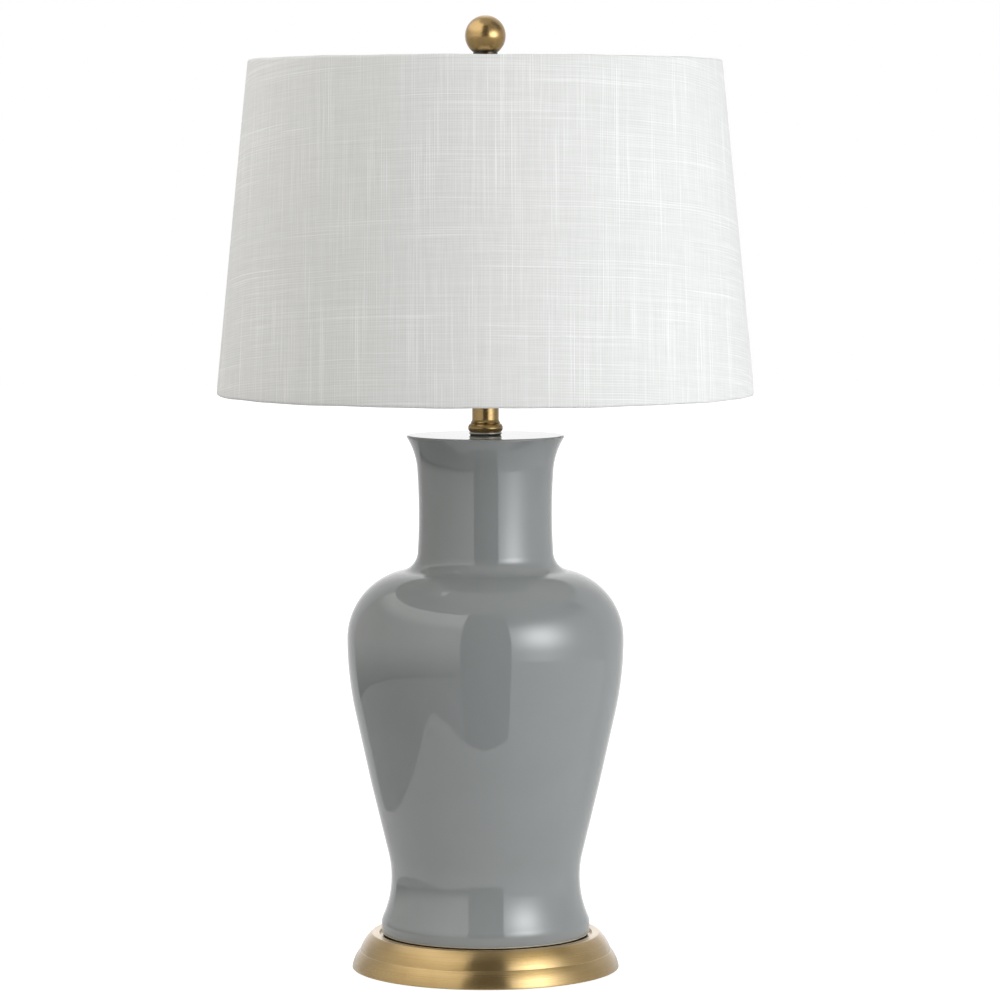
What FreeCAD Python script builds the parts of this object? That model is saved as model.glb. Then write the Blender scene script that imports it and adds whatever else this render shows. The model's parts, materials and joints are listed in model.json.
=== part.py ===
import FreeCAD, Part
import math
import os
import Sketcher

# Ginger jar table lamp, in millimetres.
# The lamp stands on the table at height 0 with its axis on Z. Its harp lies in the XZ plane,
# the switch key points to the front (-Y) and the lead's inlet is at the back (+Y).
# From the table up: a felt pad and an iron weight inside a spun two-tier base, the glazed jar,
# a turned neck, the harp's saddle and the socket, all clamped on one threaded rod.
# The harp carries the shade, and a ball finial screws down on it.

SIZES = {
    # Base
    "felt_margin": 3.0,  # felt pad's edge from the base's rim
    "felt_thickness": 1.6,  # felt pad
    "base_radius": 101.6,  # outer radius at the rim, an eight inch base
    "base_rim_lift": 0.6,  # rim above the table, because the felt carries the lamp
    "base_band_height": 1.4,  # top of the upright band at the rim
    "base_wall": 1.4,  # spun sheet
    "lower_tier_width": 5.6,  # from the rim in to the top of the lower tier
    "lower_tier_height": 13.3,  # top of the lower tier above the table
    "lower_tier_bend": 26.0,  # bend of the lower tier
    "step_width": 0.5,  # shelf between the tiers
    "step_rise": 0.3,  # rise of that shelf
    "rim_width": 6.2,  # from the jar's opening out to the top of the upper tier
    "upper_tier_bend": 28.5,  # bend of the upper tier
    "base_height": 26.9,  # flat rim at the top of the base
    "rim_round": 1.2,  # rounding from the upper tier to the flat rim
    "rim_round_width": 0.8,  # how far that rounding reaches inwards
    "rim_round_drop": 0.3,  # how far it drops
    "rim_lip_round": 0.5,  # rounding of the rim's inner edge
    "seat_clearance": 1.7,  # gap round the jar's foot in its seat
    "seat_depth": 2.1,  # seat below the flat rim
    "weight_clearance": 1.0,  # gap round the weight
    "weight_thickness": 8.2,  # iron weight, without its boss
    "weight_boss_radius": 22.0,  # boss that holds up the seat plate
    "weight_pocket_radius": 13.0,  # pocket under the weight for the nut
    "weight_pocket_depth": 7.2,  # pocket under the weight for the nut
    "channel_width": 7.0,  # lead channel under the weight
    "channel_depth": 6.8,  # lead channel under the weight

    # Lead inlet
    "inlet_height": 6.4,  # axis of the inlet above the table
    "inlet_bore": 2.8,  # radius of the hole for the lead
    "inlet_barrel_radius": 3.6,  # barrel of the bushing
    "inlet_flange_radius": 4.8,  # flange of the bushing
    "inlet_flange_thickness": 1.4,  # flange of the bushing
    "inlet_barrel_length": 6.0,  # barrel inside the base
    "inlet_sink": 0.5,  # how far the flange is bedded on the curved band

    # Rod and its nuts
    "rod_radius": 4.8,  # threaded lamp pipe
    "rod_bore": 3.2,  # bore for the wires
    "rod_fit": 0.1,  # clearance of every hole on the rod
    "rod_tail": 1.0,  # rod below its bottom nut
    "rod_in_cap": 7.0,  # rod inside the socket cap's neck
    "nut_radius": 8.2,  # corners of the hexagon nuts
    "lower_nut_height": 3.8,  # nut under the weight
    "upper_nut_height": 3.4,  # nut on the harp's saddle
    "lower_washer_radius": 10.5,  # washer under the weight
    "lower_washer_thickness": 1.0,  # washer under the weight
    "lock_washer_radius": 8.6,  # split lock washer
    "lock_washer_thickness": 1.0,  # split lock washer
    "lock_washer_split": 1.2,  # slit of the lock washer

    # Jar
    "jar_height": 379.4,  # foot to deck
    "jar_wall": 5.0,  # slip-cast wall
    "deck_thickness": 6.0,  # closed top
    "deck_hole_fit": 0.9,  # gap round the rod in the deck
    "foot_radius": 79.3,  # outer radius of the foot
    "foot_edge": 0.9,  # rounding of the unglazed edge
    "foot_bend": 13.4,  # convex bend above the foot
    "waist_radius": 72.0,  # narrowest part of the lower body
    "waist_height": 42.8,  # waist above the foot
    "waist_bend": 77.5,  # hollow bend at the waist
    "flank_bend": 3000.0,  # nearly straight flank
    "belly_radius": 105.2,  # widest part
    "belly_height": 224.8,  # widest part above the foot
    "belly_bend": 262.0,  # belly below its widest part
    "shoulder_bend": 52.7,  # shoulder above the widest part
    "shoulder_fillet": 15.3,  # hollow between shoulder and neck
    "throat_radius": 50.6,  # narrowest part of the jar's neck
    "throat_drop": 58.8,  # that part below the deck
    "throat_bend": 450.0,  # hollow bend of the jar's neck
    "lip_bend": 54.0,  # flare of the lip
    "lip_radius": 59.9,  # outer radius of the lip
    "lip_edge": 1.3,  # rounding of the lip
    "foot_ring_radius": 78.0,  # foam ring under the foot, outside
    "foot_ring_bore": 70.0,  # foam ring under the foot, inside
    "foot_ring_thickness": 2.4,  # foam ring under the foot

    # Turned neck
    "deck_gasket_radius": 11.6,  # rubber washer on the deck
    "deck_gasket_thickness": 0.6,  # rubber washer on the deck
    "check_ring_radius": 12.4,  # nickel ring under the neck
    "check_ring_thickness": 2.0,  # nickel ring under the neck
    "neck_height": 24.8,  # turned brass neck
    "neck_wall": 1.0,  # turned brass neck
    "neck_tube_radius": 10.2,  # straight part
    "neck_foot_radius": 11.7,  # underside of the bulge
    "neck_bulge_radius": 13.3,  # widest part
    "neck_bulge_height": 2.9,  # widest part above the underside
    "neck_bulge_bend": 3.6,  # bend of the bulge
    "neck_crease_height": 6.6,  # crease over the bulge
    "neck_crease_radius": 10.9,  # bottom of the crease
    "neck_collar_radius": 11.3,  # small collar over the crease
    "neck_cove_height": 9.8,  # end of the cove over the collar
    "neck_cove_bend": 3.4,  # bend of that cove
    "neck_washer_radius": 11.2,  # washer on the neck
    "neck_washer_thickness": 1.5,  # washer on the neck

    # Harp
    "saddle_width": 9.5,  # flat strap of the saddle
    "saddle_thickness": 1.6,  # flat strap of the saddle
    "saddle_eye_radius": 9.4,  # round middle of the saddle
    "saddle_post_radius": 3.1,  # posts that hold the harp's legs
    "saddle_post_height": 12.0,  # posts above the strap
    "saddle_slot_floor": 1.2,  # floor of the slot above the strap
    "harp_height": 240.9,  # saddle to shade seat, a nine and a half inch harp
    "harp_wire_radius": 1.9,  # bent wire
    "harp_wire_fit": 0.35,  # gap between a leg and its slot
    "harp_leg_spread": 28.0,  # legs from the axis
    "harp_leg_gap": 0.3,  # gap under a leg
    "harp_leg_top": 32.5,  # end of the straight leg above the saddle
    "harp_side_spread": 57.0,  # sides from the axis
    "harp_lean": 25.0,  # outward lean between leg and side, in degrees
    "harp_knee_bend": 25.0,  # bend over the leg
    "harp_hip_bend": 60.0,  # bend into the side
    "harp_crown_bend": 48.0,  # bend into the top
    "sleeve_wall": 0.9,  # locking sleeves
    "sleeve_fit": 0.35,  # gap between a sleeve and its post
    "sleeve_height": 12.4,  # locking sleeves
    "stud_radius": 3.1,  # threaded stud for the finial
    "stud_length": 10.6,  # stud above the shade's seat
    "stud_flange_radius": 9.5,  # shade's seat
    "stud_flange_thickness": 1.6,  # shade's seat
    "stud_block_radius": 5.6,  # swivel block round the wire
    "stud_block_depth": 6.4,  # swivel block below the flange
    "stud_wire_drop": 1.1,  # metal between the wire and the flange

    # Shade
    "shade_bottom_radius": 203.3,  # sixteen inch bottom
    "shade_top_radius": 178.5,  # fourteen inch top
    "shade_height": 251.8,  # upright height, ten inches on the slant
    "shade_drop": 12.8,  # shade's seat below its top edge
    "cloth_thickness": 0.6,  # linen
    "liner_thickness": 0.45,  # styrene sheet behind the linen
    "liner_fit": 0.05,  # glue line
    "liner_margin": 5.0,  # liner's edge from the shade's edge
    "ring_wire_radius": 1.5,  # top and bottom rings
    "ring_fit": 0.03,  # gap between a ring and the linen round it
    "cloth_turn": 8.0,  # linen turned over the rings
    "hub_radius": 12.5,  # washer in the middle of the spider
    "hub_bore": 3.6,  # hole for the stud
    "hub_thickness": 1.6,  # washer in the middle of the spider
    "hub_gap": 0.3,  # gap where the spider's wires meet the washer
    "spoke_wire_radius": 1.4,  # wires of the spider
    "spoke_rise_run": 26.0,  # length over which a wire climbs to the ring

    # Finial
    "ball_radius": 15.4,  # brass ball
    "ball_seat_radius": 9.2,  # flat under the ball
    "collar_height": 17.1,  # collar under the ball
    "collar_foot_radius": 9.0,  # foot of the collar
    "collar_foot_height": 2.2,  # foot of the collar
    "collar_stem_radius": 6.4,  # stem of the collar
    "collar_stem_height": 8.4,  # narrowest point of the stem
    "collar_cove_bend": 8.0,  # coves of the collar
    "insert_radius": 4.6,  # threaded insert
    "insert_length": 18.8,  # threaded insert
    "thread_gap": 0.35,  # gap that stands for meshing threads
    "insert_fit": 0.3,  # gap between the insert and the finial

    # Socket
    "cap_neck_radius": 7.2,  # neck of the socket cap
    "cap_neck_height": 8.0,  # neck of the socket cap
    "cap_radius": 17.3,  # skirt of the socket cap
    "cap_dome_height": 17.0,  # foot of the skirt above the cap's underside
    "cap_height": 23.0,  # whole socket cap
    "cap_dome_bend": 14.0,  # bend of the dome
    "cap_wall": 0.8,  # drawn brass
    "shell_start": 18.0,  # socket shell's lower edge above the cap's underside
    "shell_length": 40.4,  # socket shell
    "shell_wall": 0.5,  # socket shell
    "shell_fit": 0.1,  # gap inside the skirt
    "shell_bead": 0.5,  # bead at the shell's mouth
    "sleeve_board": 0.7,  # cardboard sleeve in the shell
    "board_fit": 0.1,  # gap round the cardboard and the core
    "core_height": 17.0,  # moulded core
    "core_flat": 12.2,  # flats for the terminal screws, from the axis
    "core_flat_height": 10.0,  # height of those flats
    "screw_shell_bore": 13.4,  # inside of the lamp holder's thread
    "screw_shell_wall": 0.45,  # lamp holder's thread
    "screw_shell_height": 21.2,  # lamp holder's thread
    "screw_thread_pitch": 3.63,  # seven threads to the inch
    "screw_thread_depth": 0.45,  # rolled threads
    "contact_radius": 3.2,  # centre contact
    "contact_height": 2.8,  # centre contact
    "contact_hole": 5.0,  # hole round the centre contact
    "terminal_radius": 1.6,  # shank of a terminal screw
    "terminal_head_radius": 2.7,  # head of a terminal screw
    "terminal_head_height": 1.5,  # head of a terminal screw
    "terminal_length": 5.0,  # shank of a terminal screw
    "set_screw_radius": 1.5,  # set screw in the cap's neck
    "set_screw_head_radius": 2.3,  # set screw's head
    "set_screw_head_height": 1.4,  # set screw's head
    "set_screw_height": 4.4,  # set screw above the cap's underside

    # Switch
    "switch_height": 28.6,  # key's axis above the cap's underside
    "switch_shaft_radius": 1.6,  # shaft
    "switch_shaft_fit": 0.08,  # running fit of the shaft in the core
    "switch_hole_gap": 1.4,  # gap round the shaft in the shell and sleeve
    "switch_shaft_depth": 7.0,  # inner end of the shaft from the axis
    "switch_shaft_end": 30.0,  # outer end of the shaft from the axis
    "key_start": 19.4,  # inner face of the key from the axis
    "key_length": 15.0,  # turned key
    "key_radius": 5.4,  # turned key
    "key_waist_radius": 3.4,  # waist of the key
    "key_waist_length": 4.0,  # waist of the key
    "key_flute_radius": 0.7,  # flutes of the key
    "key_flutes": 12,  # number of flutes

    # Bulb
    "bulb_gap": 0.2,  # gap between the bulb's tip and the contact
    "bulb_height": 108.0,  # tip to crown
    "bulb_tip_radius": 4.3,  # tip contact
    "bulb_tip_height": 1.4,  # tip contact
    "bulb_glass_radius": 10.6,  # black insulator round the tip
    "bulb_glass_height": 3.2,  # black insulator round the tip
    "bulb_cap_radius": 12.9,  # screw cap over its threads
    "bulb_cap_height": 21.4,  # screw cap
    "bulb_cap_wall": 0.5,  # screw cap
    "bulb_collar_radius": 14.6,  # neck of the housing
    "bulb_collar_height": 4.0,  # neck of the housing
    "bulb_globe_radius": 30.0,  # globe
    "bulb_globe_drop": 18.0,  # globe's lower edge below its centre
    "bulb_housing_bend": 47.0,  # hollow bend of the housing
    "bulb_wall": 1.6,  # housing and globe
    "bulb_board_gap": 1.0,  # gap round the light board
    "bulb_board_thickness": 1.6,  # light board
    "bulb_board_drop": 6.0,  # light board below the housing's edge
}

OUT = "parts"
SHEET = "Sizes"
FULL_TURN = 360

os.makedirs(OUT, exist_ok=True)
doc = FreeCAD.newDocument("ginger_jar_lamp")


class Size:
    """A size with its value in millimetres and the spreadsheet expression that gives it."""

    def __init__(self, value, text):
        self.value = float(value)
        self.text = text

    @staticmethod
    def of(item):
        """Return item as a Size, so that plain numbers mix with sheet values."""
        return item if isinstance(item, Size) else Size(item, repr(item))

    def _with(self, other, sign, value):
        return Size(value, f"({self.text} {sign} {other.text})")

    def __add__(self, other):
        other = Size.of(other)
        return self._with(other, "+", self.value + other.value)

    def __sub__(self, other):
        other = Size.of(other)
        return self._with(other, "-", self.value - other.value)

    def __mul__(self, other):
        other = Size.of(other)
        return self._with(other, "*", self.value * other.value)

    def __truediv__(self, other):
        other = Size.of(other)
        return self._with(other, "/", self.value / other.value)

    def __radd__(self, other):
        return Size.of(other) + self

    def __rsub__(self, other):
        return Size.of(other) - self

    def __rmul__(self, other):
        return Size.of(other) * self

    def __neg__(self):
        return Size(-self.value, f"(-{self.text})")

    def root(self):
        """Return the square root."""
        return Size(math.sqrt(self.value), f"sqrt({self.text})")

    def sine(self):
        """Return the sine of an angle in degrees."""
        return Size(math.sin(math.radians(self.value)), f"sin({self.text})")

    def cosine(self):
        """Return the cosine of an angle in degrees."""
        return Size(math.cos(math.radians(self.value)), f"cos({self.text})")


class Dimensions:
    """The driving dimensions, each a named cell of one spreadsheet."""

    def __init__(self, sizes):
        sheet = doc.addObject("Spreadsheet::Sheet", SHEET)
        for row, (alias, value) in enumerate(sizes.items(), 1):
            sheet.set(f"A{row}", alias)
            sheet.set(f"B{row}", repr(value))
            sheet.setAlias(f"B{row}", alias)
            setattr(self, alias, Size(value, f"{SHEET}.{alias}"))


d = Dimensions(SIZES)


# Heights of the stack above the table, each worked out from what lies under it.

seat_level = d.base_height - d.seat_depth
jar_level = seat_level + d.foot_ring_thickness
deck_level = jar_level + d.jar_height
check_ring_level = deck_level + d.deck_gasket_thickness
neck_level = check_ring_level + d.check_ring_thickness
neck_washer_level = neck_level + d.neck_height
saddle_level = neck_washer_level + d.neck_washer_thickness
upper_nut_level = saddle_level + d.saddle_thickness
cap_level = upper_nut_level + d.upper_nut_height
shell_level = cap_level + d.shell_start
core_level = shell_level + d.shell_wall
screw_shell_level = core_level + d.core_height
bulb_level = screw_shell_level + d.contact_height + d.bulb_gap
shade_seat_level = saddle_level + d.harp_height
finial_level = shade_seat_level + d.hub_thickness
ball_level = finial_level + d.collar_height
shade_level = shade_seat_level + d.shade_drop - d.shade_height
lock_washer_level = d.felt_thickness + d.weight_pocket_depth - d.lock_washer_thickness
lower_washer_level = lock_washer_level - d.lower_washer_thickness
lower_nut_level = lower_washer_level - d.lower_nut_height
rod_hole = d.rod_radius + d.rod_fit


# Helpers for sketches and features.

def vector(across, up):
    """Return a point of a sketch."""
    return FreeCAD.Vector(across, up, 0)


def origin_plane(body, role):
    """Return one of the body's own origin planes."""
    return next(item for item in body.Origin.OriginFeatures if item.Role == role)


def new_body(label):
    """Start a sub-part."""
    body = doc.addObject("PartDesign::Body", label)
    body.Label = label
    return body


def new_sketch(body, name, role):
    """Start a sketch on one of the body's origin planes."""
    sketch = body.newObject("Sketcher::SketchObject", f"{body.Name}_{name}")
    sketch.AttachmentSupport = [(origin_plane(body, role), "")]
    sketch.MapMode = "FlatFace"
    return sketch


def bind(sketch, kind, items, size, name):
    """Add a dimension to a sketch and bind it to its size."""
    size = Size.of(size)
    index = sketch.addConstraint(Sketcher.Constraint(kind, *items, size.value))
    sketch.renameConstraint(index, name)
    sketch.setExpression(f"Constraints.{name}", size.text)


def pin_point(sketch, geometry, end, across, up, name):
    """Hold a point of the sketch at its two coordinates."""
    for kind, size, axis, word in (
        ("DistanceX", across, -2, "across"),
        ("DistanceY", up, -1, "up"),
    ):
        size = Size.of(size)
        if size.value == 0:
            sketch.addConstraint(Sketcher.Constraint("PointOnObject", geometry, end, axis))
        elif size.value > 0:
            bind(sketch, kind, (-1, 1, geometry, end), size, f"{name}_{word}")
        else:
            bind(sketch, kind, (geometry, end, -1, 1), -size, f"{name}_{word}")


def add_edge(sketch, start, end, bend):
    """Add a line, or an arc with a bend to the left (+) or the right (-), and return its ends."""
    first = vector(*start)
    last = vector(*end)
    if bend is None:
        return sketch.addGeometry(Part.LineSegment(first, last), False), 1, 2
    chord = last - first
    radius = abs(bend)
    to_centre = math.sqrt(max(radius**2 - chord.Length**2 / 4, 0))
    side = 1 if bend > 0 else -1
    centre = (first + last) / 2 + vector(-chord.y, chord.x) * (side * to_centre / chord.Length)
    turn = [math.atan2(point.y - centre.y, point.x - centre.x) for point in (first, last)]
    if side < 0:
        turn.reverse()
    if turn[1] < turn[0]:
        turn[1] += 2 * math.pi
    circle = Part.Circle(centre, FreeCAD.Vector(0, 0, 1), radius)
    index = sketch.addGeometry(Part.ArcOfCircle(circle, *turn), False)
    return (index, 1, 2) if side > 0 else (index, 2, 1)


def draw(sketch, corners, closed=True):
    """Draw corners (across, up) or (across, up, bend of the edge that follows) as one wire."""
    edges = []
    count = len(corners) if closed else len(corners) - 1
    for number in range(count):
        here = corners[number]
        there = corners[(number + 1) % len(corners)]
        bend = here[2] if len(here) > 2 else None
        points = [[Size.of(item).value for item in corner[:2]] for corner in (here, there)]
        edges.append(add_edge(sketch, *points, None if bend is None else Size.of(bend).value))
    for number, (index, start, end) in enumerate(edges):
        here = corners[number]
        if closed or number + 1 < count:
            following, follow_start, _ = edges[(number + 1) % count]
            sketch.addConstraint(
                Sketcher.Constraint("Coincident", index, end, following, follow_start)
            )
        pin_point(sketch, index, start, here[0], here[1], f"corner_{number + 1}")
        if len(here) > 2:
            bend = Size.of(here[2])
            bind(sketch, "Radius", (index,), bend if bend.value > 0 else -bend, f"bend_{number + 1}")
    if not closed:
        index, _, end = edges[-1]
        pin_point(sketch, index, end, corners[-1][0], corners[-1][1], f"corner_{len(corners)}")
    return sketch


def draw_circles(sketch, circles):
    """Draw circles given as (across, up, radius)."""
    for number, (across, up, radius) in enumerate(circles):
        values = [Size.of(item).value for item in (across, up, radius)]
        circle = Part.Circle(vector(*values[:2]), FreeCAD.Vector(0, 0, 1), values[2])
        index = sketch.addGeometry(circle, False)
        pin_point(sketch, index, 3, across, up, f"centre_{number + 1}")
        bind(sketch, "Radius", (index,), radius, f"radius_{number + 1}")
    return sketch


def turned(label, corners, level=None):
    """Turn a half section about Z and stand the piece at its level."""
    body = new_body(label)
    turn_section(body, corners)
    if level is not None:
        place(body, up=level)
    return body


def turn_section(body, corners, kind="Revolution", name="section"):
    """Turn one more half section about Z, as metal (Revolution) or as a cut (Groove)."""
    before = volume(body)
    sketch = draw(new_sketch(body, name, "XZ_Plane"), corners)
    feature = body.newObject(f"PartDesign::{kind}", f"{body.Name}_{name}_{kind}")
    feature.Profile = sketch
    feature.ReferenceAxis = (sketch, ["V_Axis"])
    feature.Angle = FULL_TURN
    changed(body, before, feature)


def ring(inner, outer, height):
    """Return the half section of a plain ring that starts at height 0."""
    return [(inner, 0), (outer, 0), (outer, height), (inner, height)]


def place(item, across=None, back=None, up=None):
    """Set where a sub-part stands."""
    for axis, size in (("x", across), ("y", back), ("z", up)):
        if size is not None:
            item.setExpression(f"Placement.Base.{axis}", Size.of(size).text)


def volume(body):
    """Return the body's volume, or 0 before its first feature."""
    doc.recompute()
    return body.Shape.Volume if body.Tip else 0.0


def changed(body, before, feature):
    """Stop if a feature left the body as it was."""
    after = volume(body)
    if abs(after - before) < 1e-4:
        raise RuntimeError(f"{feature.Label} changed nothing")


def cut(body, sketch, depth=None, flip=False):
    """Pocket a sketch through everything both ways, or to a depth, and check that it cut."""
    before = volume(body)
    pocket = body.newObject("PartDesign::Pocket", f"{sketch.Name}_cut")
    pocket.Profile = sketch
    if depth is None:
        pocket.Type = "ThroughAll"
        pocket.SideType = "Symmetric"
    else:
        pocket.setExpression("Length", Size.of(depth).text)
        pocket.Reversed = flip
    changed(body, before, pocket)
    return pocket


def pad(body, sketch, length, both_sides=False, flip=False):
    """Pad a sketch and check that it added."""
    before = volume(body)
    feature = body.newObject("PartDesign::Pad", f"{sketch.Name}_pad")
    feature.Profile = sketch
    feature.setExpression("Length", Size.of(length).text)
    feature.SideType = "Symmetric" if both_sides else "One side"
    feature.Reversed = flip
    changed(body, before, feature)
    return feature


def repeat_round(body, features, count):
    """Repeat features evenly about Z."""
    before = volume(body)
    pattern = body.newObject("PartDesign::PolarPattern", f"{body.Name}_pattern")
    pattern.Originals = features
    pattern.Axis = (features[0].Profile[0], ["N_Axis"])
    pattern.Angle = FULL_TURN
    if isinstance(count, Size):
        pattern.setExpression("Occurrences", count.text)
    else:
        pattern.Occurrences = count
    body.Tip = pattern
    changed(body, before, pattern)
    return pattern


def cylinder(name, radius, height, level=0):
    """Return a cylinder on Z, as a tool for a boolean."""
    item = doc.addObject("Part::Cylinder", name)
    item.setExpression("Radius", Size.of(radius).text)
    item.setExpression("Height", Size.of(height).text)
    place(item, up=level)
    return item


def hexagon_nut(label, height, level):
    """Return a hexagon nut for the rod."""
    blank = doc.addObject("Part::Prism", f"{label}_blank")
    blank.Polygon = 6
    blank.setExpression("Circumradius", d.nut_radius.text)
    blank.setExpression("Height", Size.of(height).text)
    nut = doc.addObject("Part::Cut", label)
    nut.Base = blank
    nut.Tool = cylinder(f"{label}_bore", rod_hole, height)
    nut.Label = label
    place(nut, up=level)
    return nut


# Base.

felt_radius = d.base_radius - d.felt_margin
lower_tier_radius = d.base_radius - d.lower_tier_width
tier_start = lower_tier_radius - d.step_width
tier_level = d.lower_tier_height + d.step_rise
tier_top = d.base_height - d.rim_round_drop
rim_inside = d.foot_radius + d.seat_clearance
upper_tier_radius = rim_inside + d.rim_width
weight_radius = lower_tier_radius - d.base_wall - d.weight_clearance


def make_base_shell():
    """Spun shell: a rim band, two convex tiers, a flat rim and a sunk seat plate for the jar."""
    w = d.base_wall
    body = turned("base_shell", [
        (d.base_radius - w, d.base_rim_lift),
        (d.base_radius, d.base_rim_lift),
        (d.base_radius, d.base_band_height, d.lower_tier_bend),
        (lower_tier_radius, d.lower_tier_height),
        (tier_start, tier_level, d.upper_tier_bend),
        (upper_tier_radius, tier_top, d.rim_round),
        (upper_tier_radius - d.rim_round_width, d.base_height),
        (rim_inside + d.rim_lip_round, d.base_height, d.rim_lip_round),
        (rim_inside, d.base_height - d.rim_lip_round),
        (rim_inside, seat_level),
        (rod_hole, seat_level),
        (rod_hole, seat_level - w),
        (rim_inside + w, seat_level - w),
        (rim_inside + w, d.base_height - w),
        (upper_tier_radius - d.rim_round_width - w, d.base_height - w),
        (upper_tier_radius - w, tier_top - w, -d.upper_tier_bend),
        (tier_start - w, tier_level - w),
        (lower_tier_radius - w, d.lower_tier_height - w, -d.lower_tier_bend),
        (d.base_radius - w, d.base_band_height),
    ])
    hole = new_sketch(body, "inlet", "XZ_Plane")
    cut(body, draw_circles(hole, [(0, d.inlet_height, d.inlet_barrel_radius)]),
        depth=d.base_radius + d.base_wall, flip=False)
    return body


def make_base_weight():
    """Cast disc with a boss up to the seat plate, a nut pocket and a channel for the lead."""
    boss_top = seat_level - d.base_wall - d.felt_thickness
    body = turned("base_weight", [
        (rod_hole, 0),
        (weight_radius, 0),
        (weight_radius, d.weight_thickness),
        (d.weight_boss_radius, d.weight_thickness),
        (d.weight_boss_radius, boss_top),
        (rod_hole, boss_top),
    ], d.felt_thickness)
    pocket = draw_circles(new_sketch(body, "nut", "XY_Plane"), [(0, 0, d.weight_pocket_radius)])
    cut(body, pocket, d.weight_pocket_depth, flip=True)
    half = d.channel_width / 2
    channel = draw(new_sketch(body, "channel", "XY_Plane"), [
        (-half, 0), (half, 0), (half, weight_radius), (-half, weight_radius),
    ])
    cut(body, channel, d.channel_depth, flip=True)
    return body


def make_felt_pad():
    """Felt disc glued under the weight, which carries the whole lamp."""
    return turned("felt_pad", ring(0, felt_radius, d.felt_thickness))


def make_cord_bushing():
    """Moulded bushing of the lead's inlet, with its flange outside."""
    body = turned("cord_bushing", [
        (d.inlet_bore, -d.inlet_barrel_length),
        (d.inlet_barrel_radius, -d.inlet_barrel_length),
        (d.inlet_barrel_radius, 0),
        (d.inlet_flange_radius, 0),
        (d.inlet_flange_radius, d.inlet_flange_thickness),
        (d.inlet_bore, d.inlet_flange_thickness),
    ])
    body.Placement.Rotation = FreeCAD.Rotation(FreeCAD.Vector(1, 0, 0), -90)
    place(body, back=d.base_radius - d.inlet_sink, up=d.inlet_height)
    return body


# Rod and its fasteners.

def make_lamp_rod():
    """Threaded pipe from the nut under the weight to the socket cap."""
    start = lower_nut_level - d.rod_tail
    return turned("lamp_rod", ring(d.rod_bore, d.rod_radius, cap_level + d.rod_in_cap - start), start)


def make_lower_nut():
    """Nut under the weight."""
    return hexagon_nut("lower_nut", d.lower_nut_height, lower_nut_level)


def make_upper_nut():
    """Nut that clamps the harp's saddle on the neck."""
    return hexagon_nut("upper_nut", d.upper_nut_height, upper_nut_level)


def make_lower_washer():
    """Plain washer over the bottom nut."""
    return turned("lower_washer", ring(rod_hole, d.lower_washer_radius, d.lower_washer_thickness),
                  lower_washer_level)


def make_lock_washer():
    """Split washer against the weight."""
    body = turned("lock_washer", ring(rod_hole, d.lock_washer_radius, d.lock_washer_thickness),
                  lock_washer_level)
    half = d.lock_washer_split / 2
    slit = draw(new_sketch(body, "slit", "XY_Plane"), [
        (-half, 0), (half, 0), (half, d.nut_radius + d.rod_radius),
        (-half, d.nut_radius + d.rod_radius),
    ])
    cut(body, slit)
    return body


# Jar.

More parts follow.
